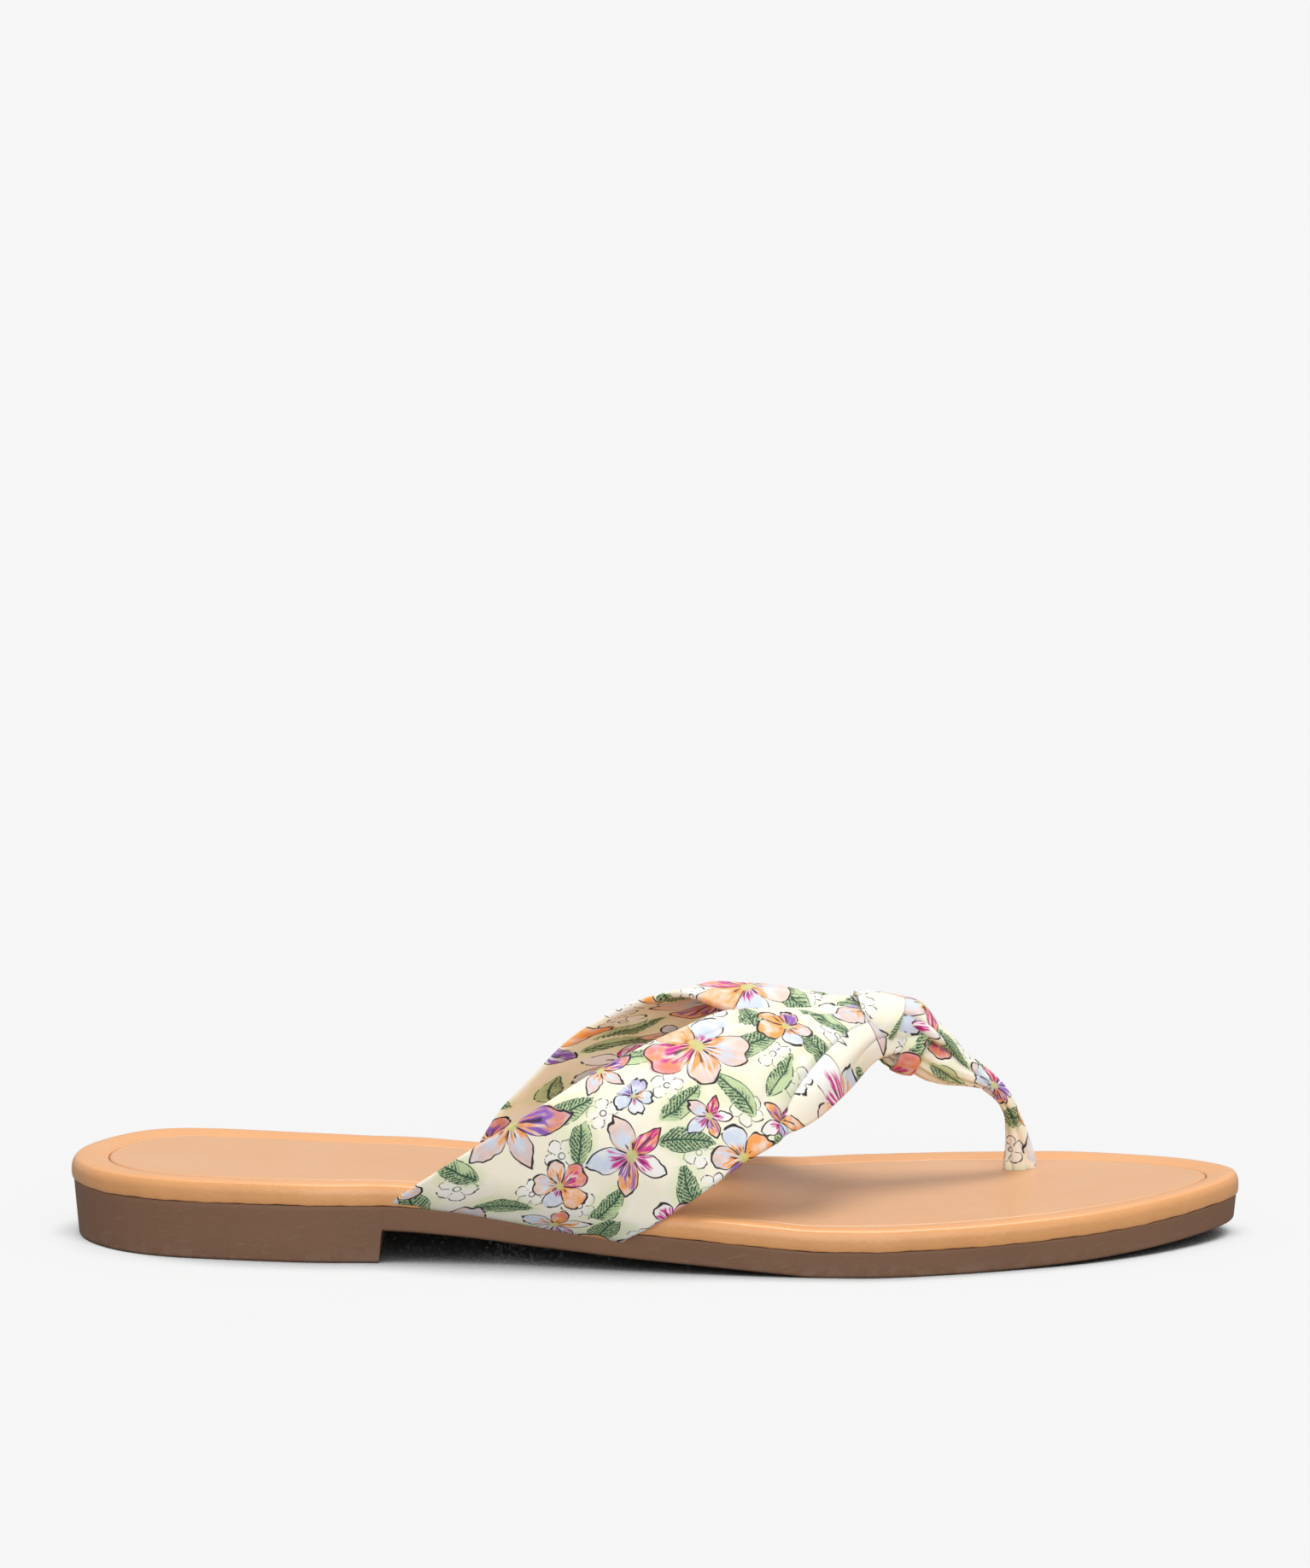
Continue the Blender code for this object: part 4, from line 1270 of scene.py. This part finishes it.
# %% Colours of the print
GROUND = (0.880, 0.820, 0.680)
INK = (0.016, 0.011, 0.013)
PALE_BLUE = (0.600, 0.670, 0.780)
ORANGE = (0.880, 0.360, 0.085)
PINK = (0.830, 0.430, 0.410)
WHITE_WASH = (0.850, 0.820, 0.800)
MAGENTA = (0.600, 0.020, 0.270)
PURPLE = (0.270, 0.110, 0.470)
HEART = (0.540, 0.580, 0.200)
LEAF_PALE = (0.700, 0.760, 0.480)
LEAF_LIGHT = (0.530, 0.640, 0.360)
LEAF_DARK = (0.014, 0.075, 0.040)
PETALS = 5
PEN = 0.22
WASHES = (
    PALE_BLUE, ORANGE, WHITE_WASH, PALE_BLUE, PINK, PALE_BLUE, ORANGE, WHITE_WASH, PALE_BLUE
)
STREAKS = (MAGENTA, ORANGE, MAGENTA, PURPLE, ORANGE)


def steps_of_colour(tree, value, colours):
    """Picks one of several colours by a number from 0 to 1."""
    node = tree.nodes.new("ShaderNodeValToRGB")
    node.color_ramp.interpolation = "CONSTANT"
    points = node.color_ramp.elements
    while len(points) < len(colours):
        points.new(1.0)
    for k, colour in enumerate(colours):
        points[k].position = k / len(colours)
        points[k].color = (*colour, 1.0)
    feed(tree, value, node.inputs[0])
    return node.outputs[0]


def read_motif(tree, socket):
    """Place in a motif as x, y, its number and its size in millimetres."""
    x, y, label = split(tree, socket)
    return x, y, label.floor(), label.part() * 100.0


def pen_line(tree, distance, gaps, width=PEN):
    """A pen line where the distance in millimetres is near 0, lifted where the gaps are low."""
    return abs(distance).under(width, 0.07) * gaps.over(0.36, 0.03)


def start_drawing(name, spread):
    """A group that draws one motif: tree, outputs, the motif's four numbers and a free place."""
    tree, entry, leave = new_group(name, {"Place": "Vector"}, {"Color": "Color", "Cover": "Float"})
    x, y, number, size = read_motif(tree, entry["Place"])
    return tree, leave, (x, y, number, size), join(tree, x, y, number * spread)


def bloom_group():
    tree, leave, (x, y, number, size), free = start_drawing("drawn bloom", 3.7)
    loose = noise(tree, free, 2.2) - 0.5
    rough = noise(tree, free, 9.0) - 0.5
    reach = (x * x + y * y) ** 0.5 * (1.0 + loose * 0.16)
    turn = y.math("ARCTAN2", x) * (0.5 / math.pi) + 0.5 + loose * 0.03
    petal = turn * PETALS
    petal_number = petal.floor()
    across = abs(petal.part() - 0.5) * 2.0
    own = chance(tree, petal_number + number * 11.3)
    other = chance(tree, petal_number * 1.7 + number * 5.9 + 40.0)
    flower = chance(tree, number + 0.5)
    second = chance(tree, number * 2.3 + 90.0)

    longest = own * 0.26 + 0.74
    notch = across.under(0.16, 0.16) * own.over(0.45, 0.05) * 0.09
    rounded = (1.0 - across * across).at_least(0.0) ** 0.5 * 0.58 + 0.40 - notch
    pointed = (1.0 - across).at_least(0.0) ** 0.75 * 0.70 + 0.30
    rim = longest * (rounded + (pointed - rounded) * second.over(0.62, 0.01))
    cover = (rim + rough * 0.07 - reach).over(0.0, 0.02)

    hue = (flower * 0.93 + own * 0.34).part()
    wash = steps_of_colour(tree, hue, WASHES)
    out = reach / rim
    pale = (noise(tree, free, 3.1) + out * 0.30).over(0.80, 0.25)
    colour = paint(tree, wash, WHITE_WASH, pale * 0.70)
    fine = noise(tree, join(tree, turn * 46.0, reach * 1.6, number), 1.0)
    broad = noise(tree, join(tree, turn * 17.0, number, 3.0), 1.0) - 0.5
    streak = reach.under(other * 0.46 + 0.26 + broad * 0.5, 0.05) * fine.over(0.44, 0.10)
    streak = streak * (second + own).part().over(0.24, 0.01)
    streak_colour = steps_of_colour(tree, (other * 1.9 + flower).part(), STREAKS)
    colour = paint(tree, colour, streak_colour, streak)
    blush = out.over(0.62, 0.2) * (other + second).part().over(0.50, 0.01) * fine.over(0.30, 0.3)
    colour = paint(tree, colour, streak_colour, blush * 0.40)
    colour = paint(tree, colour, HEART, reach.under(0.12, 0.04) * 0.8)

    dots = reach.over(0.11, 0.02) * reach.under(0.25, 0.02) * fine.over(0.68, 0.04)
    veins = across.under(0.10, 0.04) * reach.over(0.16, 0.02)
    veins = veins * reach.under(other * 0.34 + 0.20, 0.03)
    apart = (1.0 - across) * reach * size * (math.pi / PETALS)
    seam = pen_line(tree, apart, noise(tree, free, 2.7) + 0.05, 0.15)
    seam = seam * reach.over(0.12, 0.02) * reach.under(rim * 1.02, 0.02)
    wobble = (noise(tree, join(tree, x, y, number * 3.7 + 9.0), 1.7) - 0.5) * 0.13
    outline = pen_line(tree, (reach - rim + wobble) * size * 0.9, noise(tree, free, 3.3) + 0.12)
    ink = dots.at_least(veins * 0.85).at_least(seam).at_least(outline)
    feed(tree, paint(tree, colour, INK, ink), leave["Color"])
    feed(tree, cover.at_least(outline), leave["Cover"])
    return tree

# %% [markdown]
# ## Leaves and sprigs
#
# A leaf is a light green wash with dark strokes that slant away from its rib, thicker on one side.
# A paler wash spreads past its edge. A sprig is hardly more than a pen drawing of a tiny blossom.

# %% Leaf and sprig
def leaf_group():
    tree, leave, (x, y, number, size), free = start_drawing("drawn leaf", 2.9)
    bend = noise(tree, free, 1.6) - 0.5
    own = chance(tree, number + 21.0)
    y = y + bend * 0.10 + x * x * (own - 0.5) * 0.36
    half = (1.0 - x * x).at_least(0.0001) ** 0.85 * (own * 0.10 + 0.34) * (1.0 - x * 0.30)
    inside = half - abs(y)
    rough = noise(tree, join(tree, x, y, number + 7.0), 14.0, 1.0)
    slant = x * 6.5 - abs(y) * 7.0 + rough * 0.5
    stroke = abs(slant.part() - 0.5).under(0.30, 0.08)
    heavy = (y * 1.1 + bend * 0.7 + own * 0.9 + 0.16).over(0.30, 0.22)
    dark = stroke.at_least(heavy.over(1.02, 0.1)) * heavy * rough.over(0.30, 0.08)
    rib = abs(y).under(0.035, 0.02) * abs(x).under(0.86, 0.03)
    outline = pen_line(tree, inside * size, noise(tree, free, 2.6) - 0.04, 0.12)
    outline = outline * abs(x).under(0.97, 0.02)
    wash = (inside + 0.24 + bend * 0.5).over(0.0, 0.20) * abs(x).under(1.15, 0.2)
    colour = paint(tree, LEAF_PALE, LEAF_LIGHT, (inside + (rough - 0.5) * 0.08).over(0.0, 0.03))
    ink = (dark * (inside + (rough - 0.5) * 0.16).over(0.02, 0.02)).at_least(rib).at_least(outline)
    feed(tree, paint(tree, colour, LEAF_DARK, ink), leave["Color"])
    solid = inside.over(0.0, 0.03)
    feed(tree, (wash * 0.55).at_least(solid).at_least(outline), leave["Cover"])
    return tree


def sprig_group():
    tree, leave, (x, y, number, size), free = start_drawing("drawn sprig", 4.1)
    loose = noise(tree, free, 2.0) - 0.5
    reach = (x * x + y * y) ** 0.5 * (1.0 + loose * 0.22)
    petal = (y.math("ARCTAN2", x) * (0.5 / math.pi) + 0.5 + loose * 0.05) * PETALS
    across = abs(petal.part() - 0.5) * 2.0
    rim = ((1.0 - across * across).at_least(0.0)) ** 0.5 * 0.42 + 0.50
    gaps = noise(tree, free, 3.4)
    outline = pen_line(tree, (reach - rim) * size, gaps, 0.15)
    heart = pen_line(tree, (reach - 0.17) * size, gaps + 0.1, 0.12)
    folds = pen_line(tree, (1.0 - across) * reach * size * 0.6, gaps - 0.02, 0.12)
    folds = folds * reach.over(0.34, 0.02) * reach.under(rim, 0.02)
    ink = outline.at_least(heart).at_least(folds)
    colour = paint(tree, (0.86, 0.85, 0.82), INK, ink)
    feed(tree, colour, leave["Color"])
    feed(tree, (reach.under(rim, 0.05) * 0.75).at_least(ink), leave["Cover"])
    return tree


BLOOM_GROUP = bloom_group()
LEAF_GROUP = leaf_group()
SPRIG_GROUP = sprig_group()
print("flower drawn with", len(BLOOM_GROUP.nodes), "nodes")

# %% [markdown]
# ## The printed cotton
#
# Ground, sprigs, leaves and blooms are laid over each other in the order in which they were
# printed. The cloth itself is a fine satin weave: it is dull, with a soft sheen at grazing angles,
# and its threads only show as a faint bump.

# %% Cotton material
GROUND_SHADE = (0.80, 0.79, 0.56)
GROUND_LIGHT = (0.88, 0.85, 0.78)
THREAD_TURN = 24.0


def cotton_material(name):
    material, shader = plain_material(name, GROUND, 0.72)
    tree = material.node_tree
    flat = add_node(tree, "ShaderNodeUVMap", uv_map="cloth").outputs[0]
    clouds = noise(tree, flat, 0.09, 3.0)
    colour = paint(tree, GROUND, GROUND_SHADE, clouds.over(0.66, 0.14) * 0.35)
    colour = paint(tree, colour, GROUND_LIGHT, noise(tree, flat, 0.13).over(0.60, 0.15) * 0.6)
    for chart, group in (
        ("sprig", SPRIG_GROUP), ("leaf", LEAF_GROUP), ("bud", BLOOM_GROUP), ("bloom", BLOOM_GROUP)
    ):
        motif = add_node(tree, "ShaderNodeAttribute", attribute_name=chart).outputs["Vector"]
        drawn = place_group(tree, group, Place=motif)
        colour = paint(tree, colour, drawn["Color"], drawn["Cover"])
    feed_all(
        tree, shader, Base_Color=colour, Sheen_Weight=0.12, Sheen_Roughness=0.4,
        Subsurface_Weight=0.45, Subsurface_Radius=(1.0, 0.85, 0.65), Subsurface_Scale=0.0022,
    )
    x, y, _ = split(tree, flat)
    threads = (x * THREAD_TURN).math("SINE") * (y * THREAD_TURN).math("SINE")
    add_bump(tree, shader, threads + noise(tree, flat, 1.1, 3.0) * 3.0, 0.00004, 0.25)
    return material


cotton = cotton_material("printed cotton")
print("cotton drawn with", len(cotton.node_tree.nodes), "nodes")
for piece in cloth_pieces:
    piece.data.materials.append(cotton)

# %% [markdown]
# ## Leather, rubber and what use does to them
#
# Two small groups hold what the materials share. One gives the fine grain of coated sheet, with
# the few pale specks that any shoe picks up on its way to a photograph, and the other the faint
# clouds, scuffs and dust of a moulded sole. They read the shoe's own places in millimetres, so the
# grain has its real size and doesn't swim when the shoe is turned.

# %% Shared effects
def sheet_group():
    tree, entry, leave = new_group(
        "coated sheet", {"Place": "Vector"}, dict.fromkeys(("Cloud", "Height", "Speck"), "Float")
    )
    place = entry["Place"]
    cloud = noise(tree, place, 0.045, 4.0)
    pore = texture(tree, "ShaderNodeTexVoronoi", place, "Distance", Scale=1.5)
    dimple = noise(tree, place, 0.55, 3.0)
    dust = texture(tree, "ShaderNodeTexVoronoi", place, "Distance", Scale=0.16)
    size = noise(tree, place, 0.31, 1.0)
    feed(tree, cloud, leave["Cloud"])
    feed(tree, pore * 0.5 + dimple * 1.6, leave["Height"])
    speck = (dust / (size * 0.05 + 0.001)).under(1.0, 0.4)
    feed(tree, speck * size.over(0.80, 0.05), leave["Speck"])
    return tree


def rubber_group():
    tree, entry, leave = new_group(
        "moulded rubber", {"Place": "Vector"},
        dict.fromkeys(("Cloud", "Scuff", "Dust", "Height"), "Float"),
    )
    place = entry["Place"]
    x, y, z = split(tree, place)
    cloud = noise(tree, place, 0.035, 5.0)
    slanted = join(tree, x * 0.16 + z * 0.08, y * 0.16, z * 1.5 - x * 0.4)
    lines = texture(tree, "ShaderNodeTexNoise", slanted, "Fac", Scale=1.3, Detail=3.0)
    rubbed = noise(tree, place, 0.06, 2.0).over(0.52, 0.12)
    scuff = lines.over(0.64, 0.03) * rubbed
    low = z.under(2.2, 2.0) * noise(tree, place, 0.35, 4.0).over(0.50, 0.15)
    feed(tree, cloud, leave["Cloud"])
    feed(tree, scuff, leave["Scuff"])
    feed(tree, low, leave["Dust"])
    feed(tree, noise(tree, place, 0.9, 4.0) + noise(tree, place, 0.12, 2.0) * 1.5, leave["Height"])
    return tree


SHEET_GROUP = sheet_group()
RUBBER_GROUP = rubber_group()


def place_in_millimetres(tree):
    """Object places scaled to millimetres, so that textures have their real size."""
    own = add_node(tree, "ShaderNodeTexCoord").outputs["Object"]
    scaled = add_node(tree, "ShaderNodeVectorMath", operation="SCALE", Scale=1.0 / MM, Vector=own)
    return scaled.outputs[0]


print("shared:", SHEET_GROUP.name, "and", RUBBER_GROUP.name)

# %% [markdown]
# ## Tan sheet, sock and sole
#
# The wrap is a warm tan with a satin finish, a little darker where clouds of the dye gather and in
# the shade of the groove. The sock is the same sheet from another roll, pinker and duller. The sole
# is matte brown; its wall has long faint scuffs, and the lowest millimetres are dusty.

# %% Materials of footbed, sock and sole
SPECK_COLOUR = (0.86, 0.80, 0.72)
SCUFF_COLOUR = (0.30, 0.19, 0.135)
DUST_COLOUR = (0.36, 0.29, 0.235)


def start_surface(name, colour, roughness, group):
    """A material whose shared effects are read in millimetres: tree, shader and the effects."""
    material, shader = plain_material(name, colour, roughness)
    tree = material.node_tree
    effects = place_group(tree, group, Place=place_in_millimetres(tree))
    return material, tree, shader, {socket.name: Sum(tree, socket) for socket in effects}


def sheet_material(name, colour, deep, roughness):
    material, tree, shader, sheet = start_surface(name, colour, roughness, SHEET_GROUP)
    tone = paint(tree, colour, deep, sheet["Cloud"] * 0.55)
    tone = paint(tree, tone, SPECK_COLOUR, sheet["Speck"] * 0.8)
    rough = sheet["Cloud"] * 0.14 + (roughness - 0.07)
    feed_all(tree, shader, Base_Color=tone, Roughness=rough, Coat_Weight=0.30, Coat_Roughness=0.26)
    add_bump(tree, shader, sheet["Height"], 0.00010, 0.45)
    return material


def rubber_material(name, colour, deep, roughness):
    material, tree, shader, rubber = start_surface(name, colour, roughness, RUBBER_GROUP)
    tone = paint(tree, colour, deep, rubber["Cloud"] * 0.6)
    tone = paint(tree, tone, SCUFF_COLOUR, rubber["Scuff"] * 0.35)
    tone = paint(tree, tone, DUST_COLOUR, rubber["Dust"] * 0.16)
    rough = rubber["Cloud"] * 0.10 + rubber["Scuff"] * 0.12 + (roughness - 0.05)
    feed_all(tree, shader, Base_Color=tone, Roughness=rough, Specular_IOR_Level=0.35)
    add_bump(tree, shader, rubber["Height"], 0.00012, 0.5)
    return material


footbed.data.materials.append(
    sheet_material("tan sheet", (0.790, 0.385, 0.150), (0.680, 0.300, 0.104), 0.36)
)
insole_sock.data.materials.append(
    sheet_material("sock sheet", (0.700, 0.376, 0.180), (0.620, 0.312, 0.138), 0.46)
)
outsole.data.materials.append(
    rubber_material("brown rubber", (0.245, 0.128, 0.074), (0.178, 0.092, 0.054), 0.62)
)
print("dressed:", footbed.name, insole_sock.name, outsole.name)

# %% [markdown]
# ## Tread and stitches
#
# What repeats is made by Geometry Nodes. The tread is two rows of grooves across the underside.
# Each groove has a point in its middle that knows how long it may be, a box is put on every point,
# and the boxes are taken out of the sole. The stitches follow the groove round the heel, where the
# sock was tacked before it was glued: a curve is cut into equal lengths, and each gets one stitch.

# %% Trees that repeat a shape
TREAD_DEPTH = 1.2
TREAD_WIDTH = 2.2
TREAD_PITCH = 8.0
TREAD_MARGIN = 7.0
TREAD_ROWS = ((22.3, 4), (146.3, 9))
SHARP_TURN = 40.0
STITCH_PITCH = 1.6
STITCH_LENGTH = 0.85
STITCH_WIDTH = 0.30
STITCH_TURN = 0.55
STITCH_INSET = 0.90
STITCH_DROP = 0.04


def new_shape_tree(name, inputs):
    """An empty Geometry Nodes tree; returns it, its inputs and its output."""
    tree, entry, leave = new_group(
        name, {"Geometry": "Geometry", **inputs}, {"Geometry": "Geometry"}, "GeometryNodeTree"
    )
    return tree, entry, leave[0]


def finish_tree(tree, geometry, material, leave):
    real = add_node(tree, "GeometryNodeRealizeInstances", Geometry=geometry)
    dressed = add_node(tree, "GeometryNodeSetMaterial", Geometry=real.outputs[0], Material=material)
    tree.links.new(dressed.outputs[0], leave)


def tread_tree():
    """Takes one box for each spot out of a sole; a spot's span is the box's length."""
    tree, entry, leave = new_shape_tree(
        "tread grooves",
        {"Spots": "Object", "Width": "Float", "Depth": "Float", "Material": "Material"},
    )
    spots = add_node(tree, "GeometryNodeObjectInfo", Object=entry["Spots"])
    span = add_node(tree, "GeometryNodeInputNamedAttribute", data_type="FLOAT", Name="span")
    bar = add_node(tree, "GeometryNodeMeshCube")
    size = join(tree, entry["Width"], span.outputs["Attribute"], Sum(tree, entry["Depth"]) * 2.0)
    bars = add_node(
        tree, "GeometryNodeInstanceOnPoints", Points=spots.outputs["Geometry"],
        Instance=bar.outputs[0], Scale=size,
    )
    bars = add_node(tree, "GeometryNodeRealizeInstances", Geometry=bars.outputs[0])
    cut = add_node(tree, "GeometryNodeMeshBoolean", operation="DIFFERENCE", solver="EXACT")
    tree.links.new(entry["Geometry"], cut.inputs["Mesh 1"])
    tree.links.new(bars.outputs[0], cut.inputs["Mesh 2"])
    finish_tree(tree, cut.outputs[0], entry["Material"], leave)
    return tree


def stitch_tree():
    tree, entry, leave = new_shape_tree(
        "stitch row",
        {"Pitch": "Float", "Length": "Float", "Width": "Float", "Material": "Material"},
    )
    path = add_node(tree, "GeometryNodeMeshToCurve", Mesh=entry["Geometry"])
    spots = add_node(
        tree, "GeometryNodeCurveToPoints", mode="LENGTH", Curve=path.outputs[0],
        Length=entry["Pitch"],
    )
    bead = add_node(tree, "GeometryNodeMeshUVSphere", Segments=10, Rings=6, Radius=0.5)
    scale = join(tree, entry["Width"], entry["Width"], entry["Length"])
    row = add_node(
        tree, "GeometryNodeInstanceOnPoints", Points=spots.outputs["Points"],
        Instance=bead.outputs[0], Rotation=spots.outputs["Rotation"], Scale=scale,
    )
    smooth = add_node(tree, "GeometryNodeRealizeInstances", Geometry=row.outputs[0])
    smooth = add_node(tree, "GeometryNodeSetShadeSmooth", Geometry=smooth.outputs[0])
    finish_tree(tree, smooth.outputs[0], entry["Material"], leave)
    return tree


def apply_tree(piece, name, tree, **values):
    """Adds the tree as a modifier, sets its inputs by their identifiers and keeps the result."""
    modifier = piece.modifiers.new(name, "NODES")
    modifier.node_group = tree
    sockets = {
        item.name: item.identifier for item in tree.interface.items_tree if item.in_out == "INPUT"
    }
    for socket_name, value in values.items():
        modifier[sockets[socket_name]] = value
    bpy.context.view_layer.update()
    shaped = piece.evaluated_get(bpy.context.evaluated_depsgraph_get())
    mesh = bpy.data.meshes.new_from_object(shaped)
    piece.modifiers.clear()
    piece.data = mesh
    print(name, len(mesh.polygons), "faces")


# %% Tread and stitches applied
groove_x = np.concatenate([start + TREAD_PITCH * np.arange(count) for start, count in TREAD_ROWS])
groove_along = groove_x / LENGTH
inner_end = edge_y(groove_along, 1.0) - TREAD_MARGIN
outer_end = edge_y(groove_along, -1.0) + TREAD_MARGIN
spot_places = (x_at(groove_along), 0.5 * (inner_end + outer_end), sole_bottom(groove_along))
spot_mesh = bpy.data.meshes.new("groove spots")
spot_mesh.from_pydata((np.column_stack(spot_places) * MM).tolist(), [], [])
spot_spans = spot_mesh.attributes.new("span", "FLOAT", "POINT")
spot_spans.data.foreach_set("value", (inner_end - outer_end) * MM)
spots = add_object("groove spots", spot_mesh)
apply_tree(
    outsole, "tread", tread_tree(), Spots=spots, Width=TREAD_WIDTH * MM, Depth=TREAD_DEPTH * MM,
    Material=outsole.data.materials[0],
)
bpy.data.objects.remove(spots)
outsole.data.set_sharp_from_angle(angle=math.radians(SHARP_TURN))

thread, thread_shader = plain_material("tacking thread", (0.62, 0.40, 0.24), 0.6)
tree = thread.node_tree
twist = texture(tree, "ShaderNodeTexWave", place_in_millimetres(tree), "Fac", Scale=2.6)
twisted = paint(tree, (0.50, 0.29, 0.15), (0.74, 0.52, 0.33), twist)
feed_all(tree, thread_shader, Base_Color=twisted)

stitch_turns = np.linspace(-STITCH_TURN, STITCH_TURN, 60)
stitch_places = (np.abs(stitch_turns), np.where(stitch_turns < 0, -1.0, 1.0))
row = outline_ring(
    stitch_places, rim_inset(STITCH_INSET, share_at(stitch_places[0])),
    lambda along: footbed_top(along) - STITCH_DROP * BEAD_RISE,
)
path = bpy.data.meshes.new("stitch path")
path.from_pydata((row * MM).tolist(), [(k, k + 1) for k in range(len(row) - 1)], [])
heel_stitches = add_object("heel_stitches", path)
apply_tree(
    heel_stitches, "stitches", stitch_tree(), Pitch=STITCH_PITCH * MM, Length=STITCH_LENGTH * MM,
    Width=STITCH_WIDTH * MM, Material=thread,
)

# %% [markdown]
# ## Attaching the pieces
#
# Every piece rides on the one body, and the solid that it dresses is hidden.

# %% Which solid each piece dresses
for piece, node in ((outsole, "outsole"), (footbed, "footbed"), (insole_sock, "insole_sock")):
    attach(piece, "root")
    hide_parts(node)
for piece in cloth_pieces:
    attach(piece, "root")
    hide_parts("upper")

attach(heel_stitches, "root")
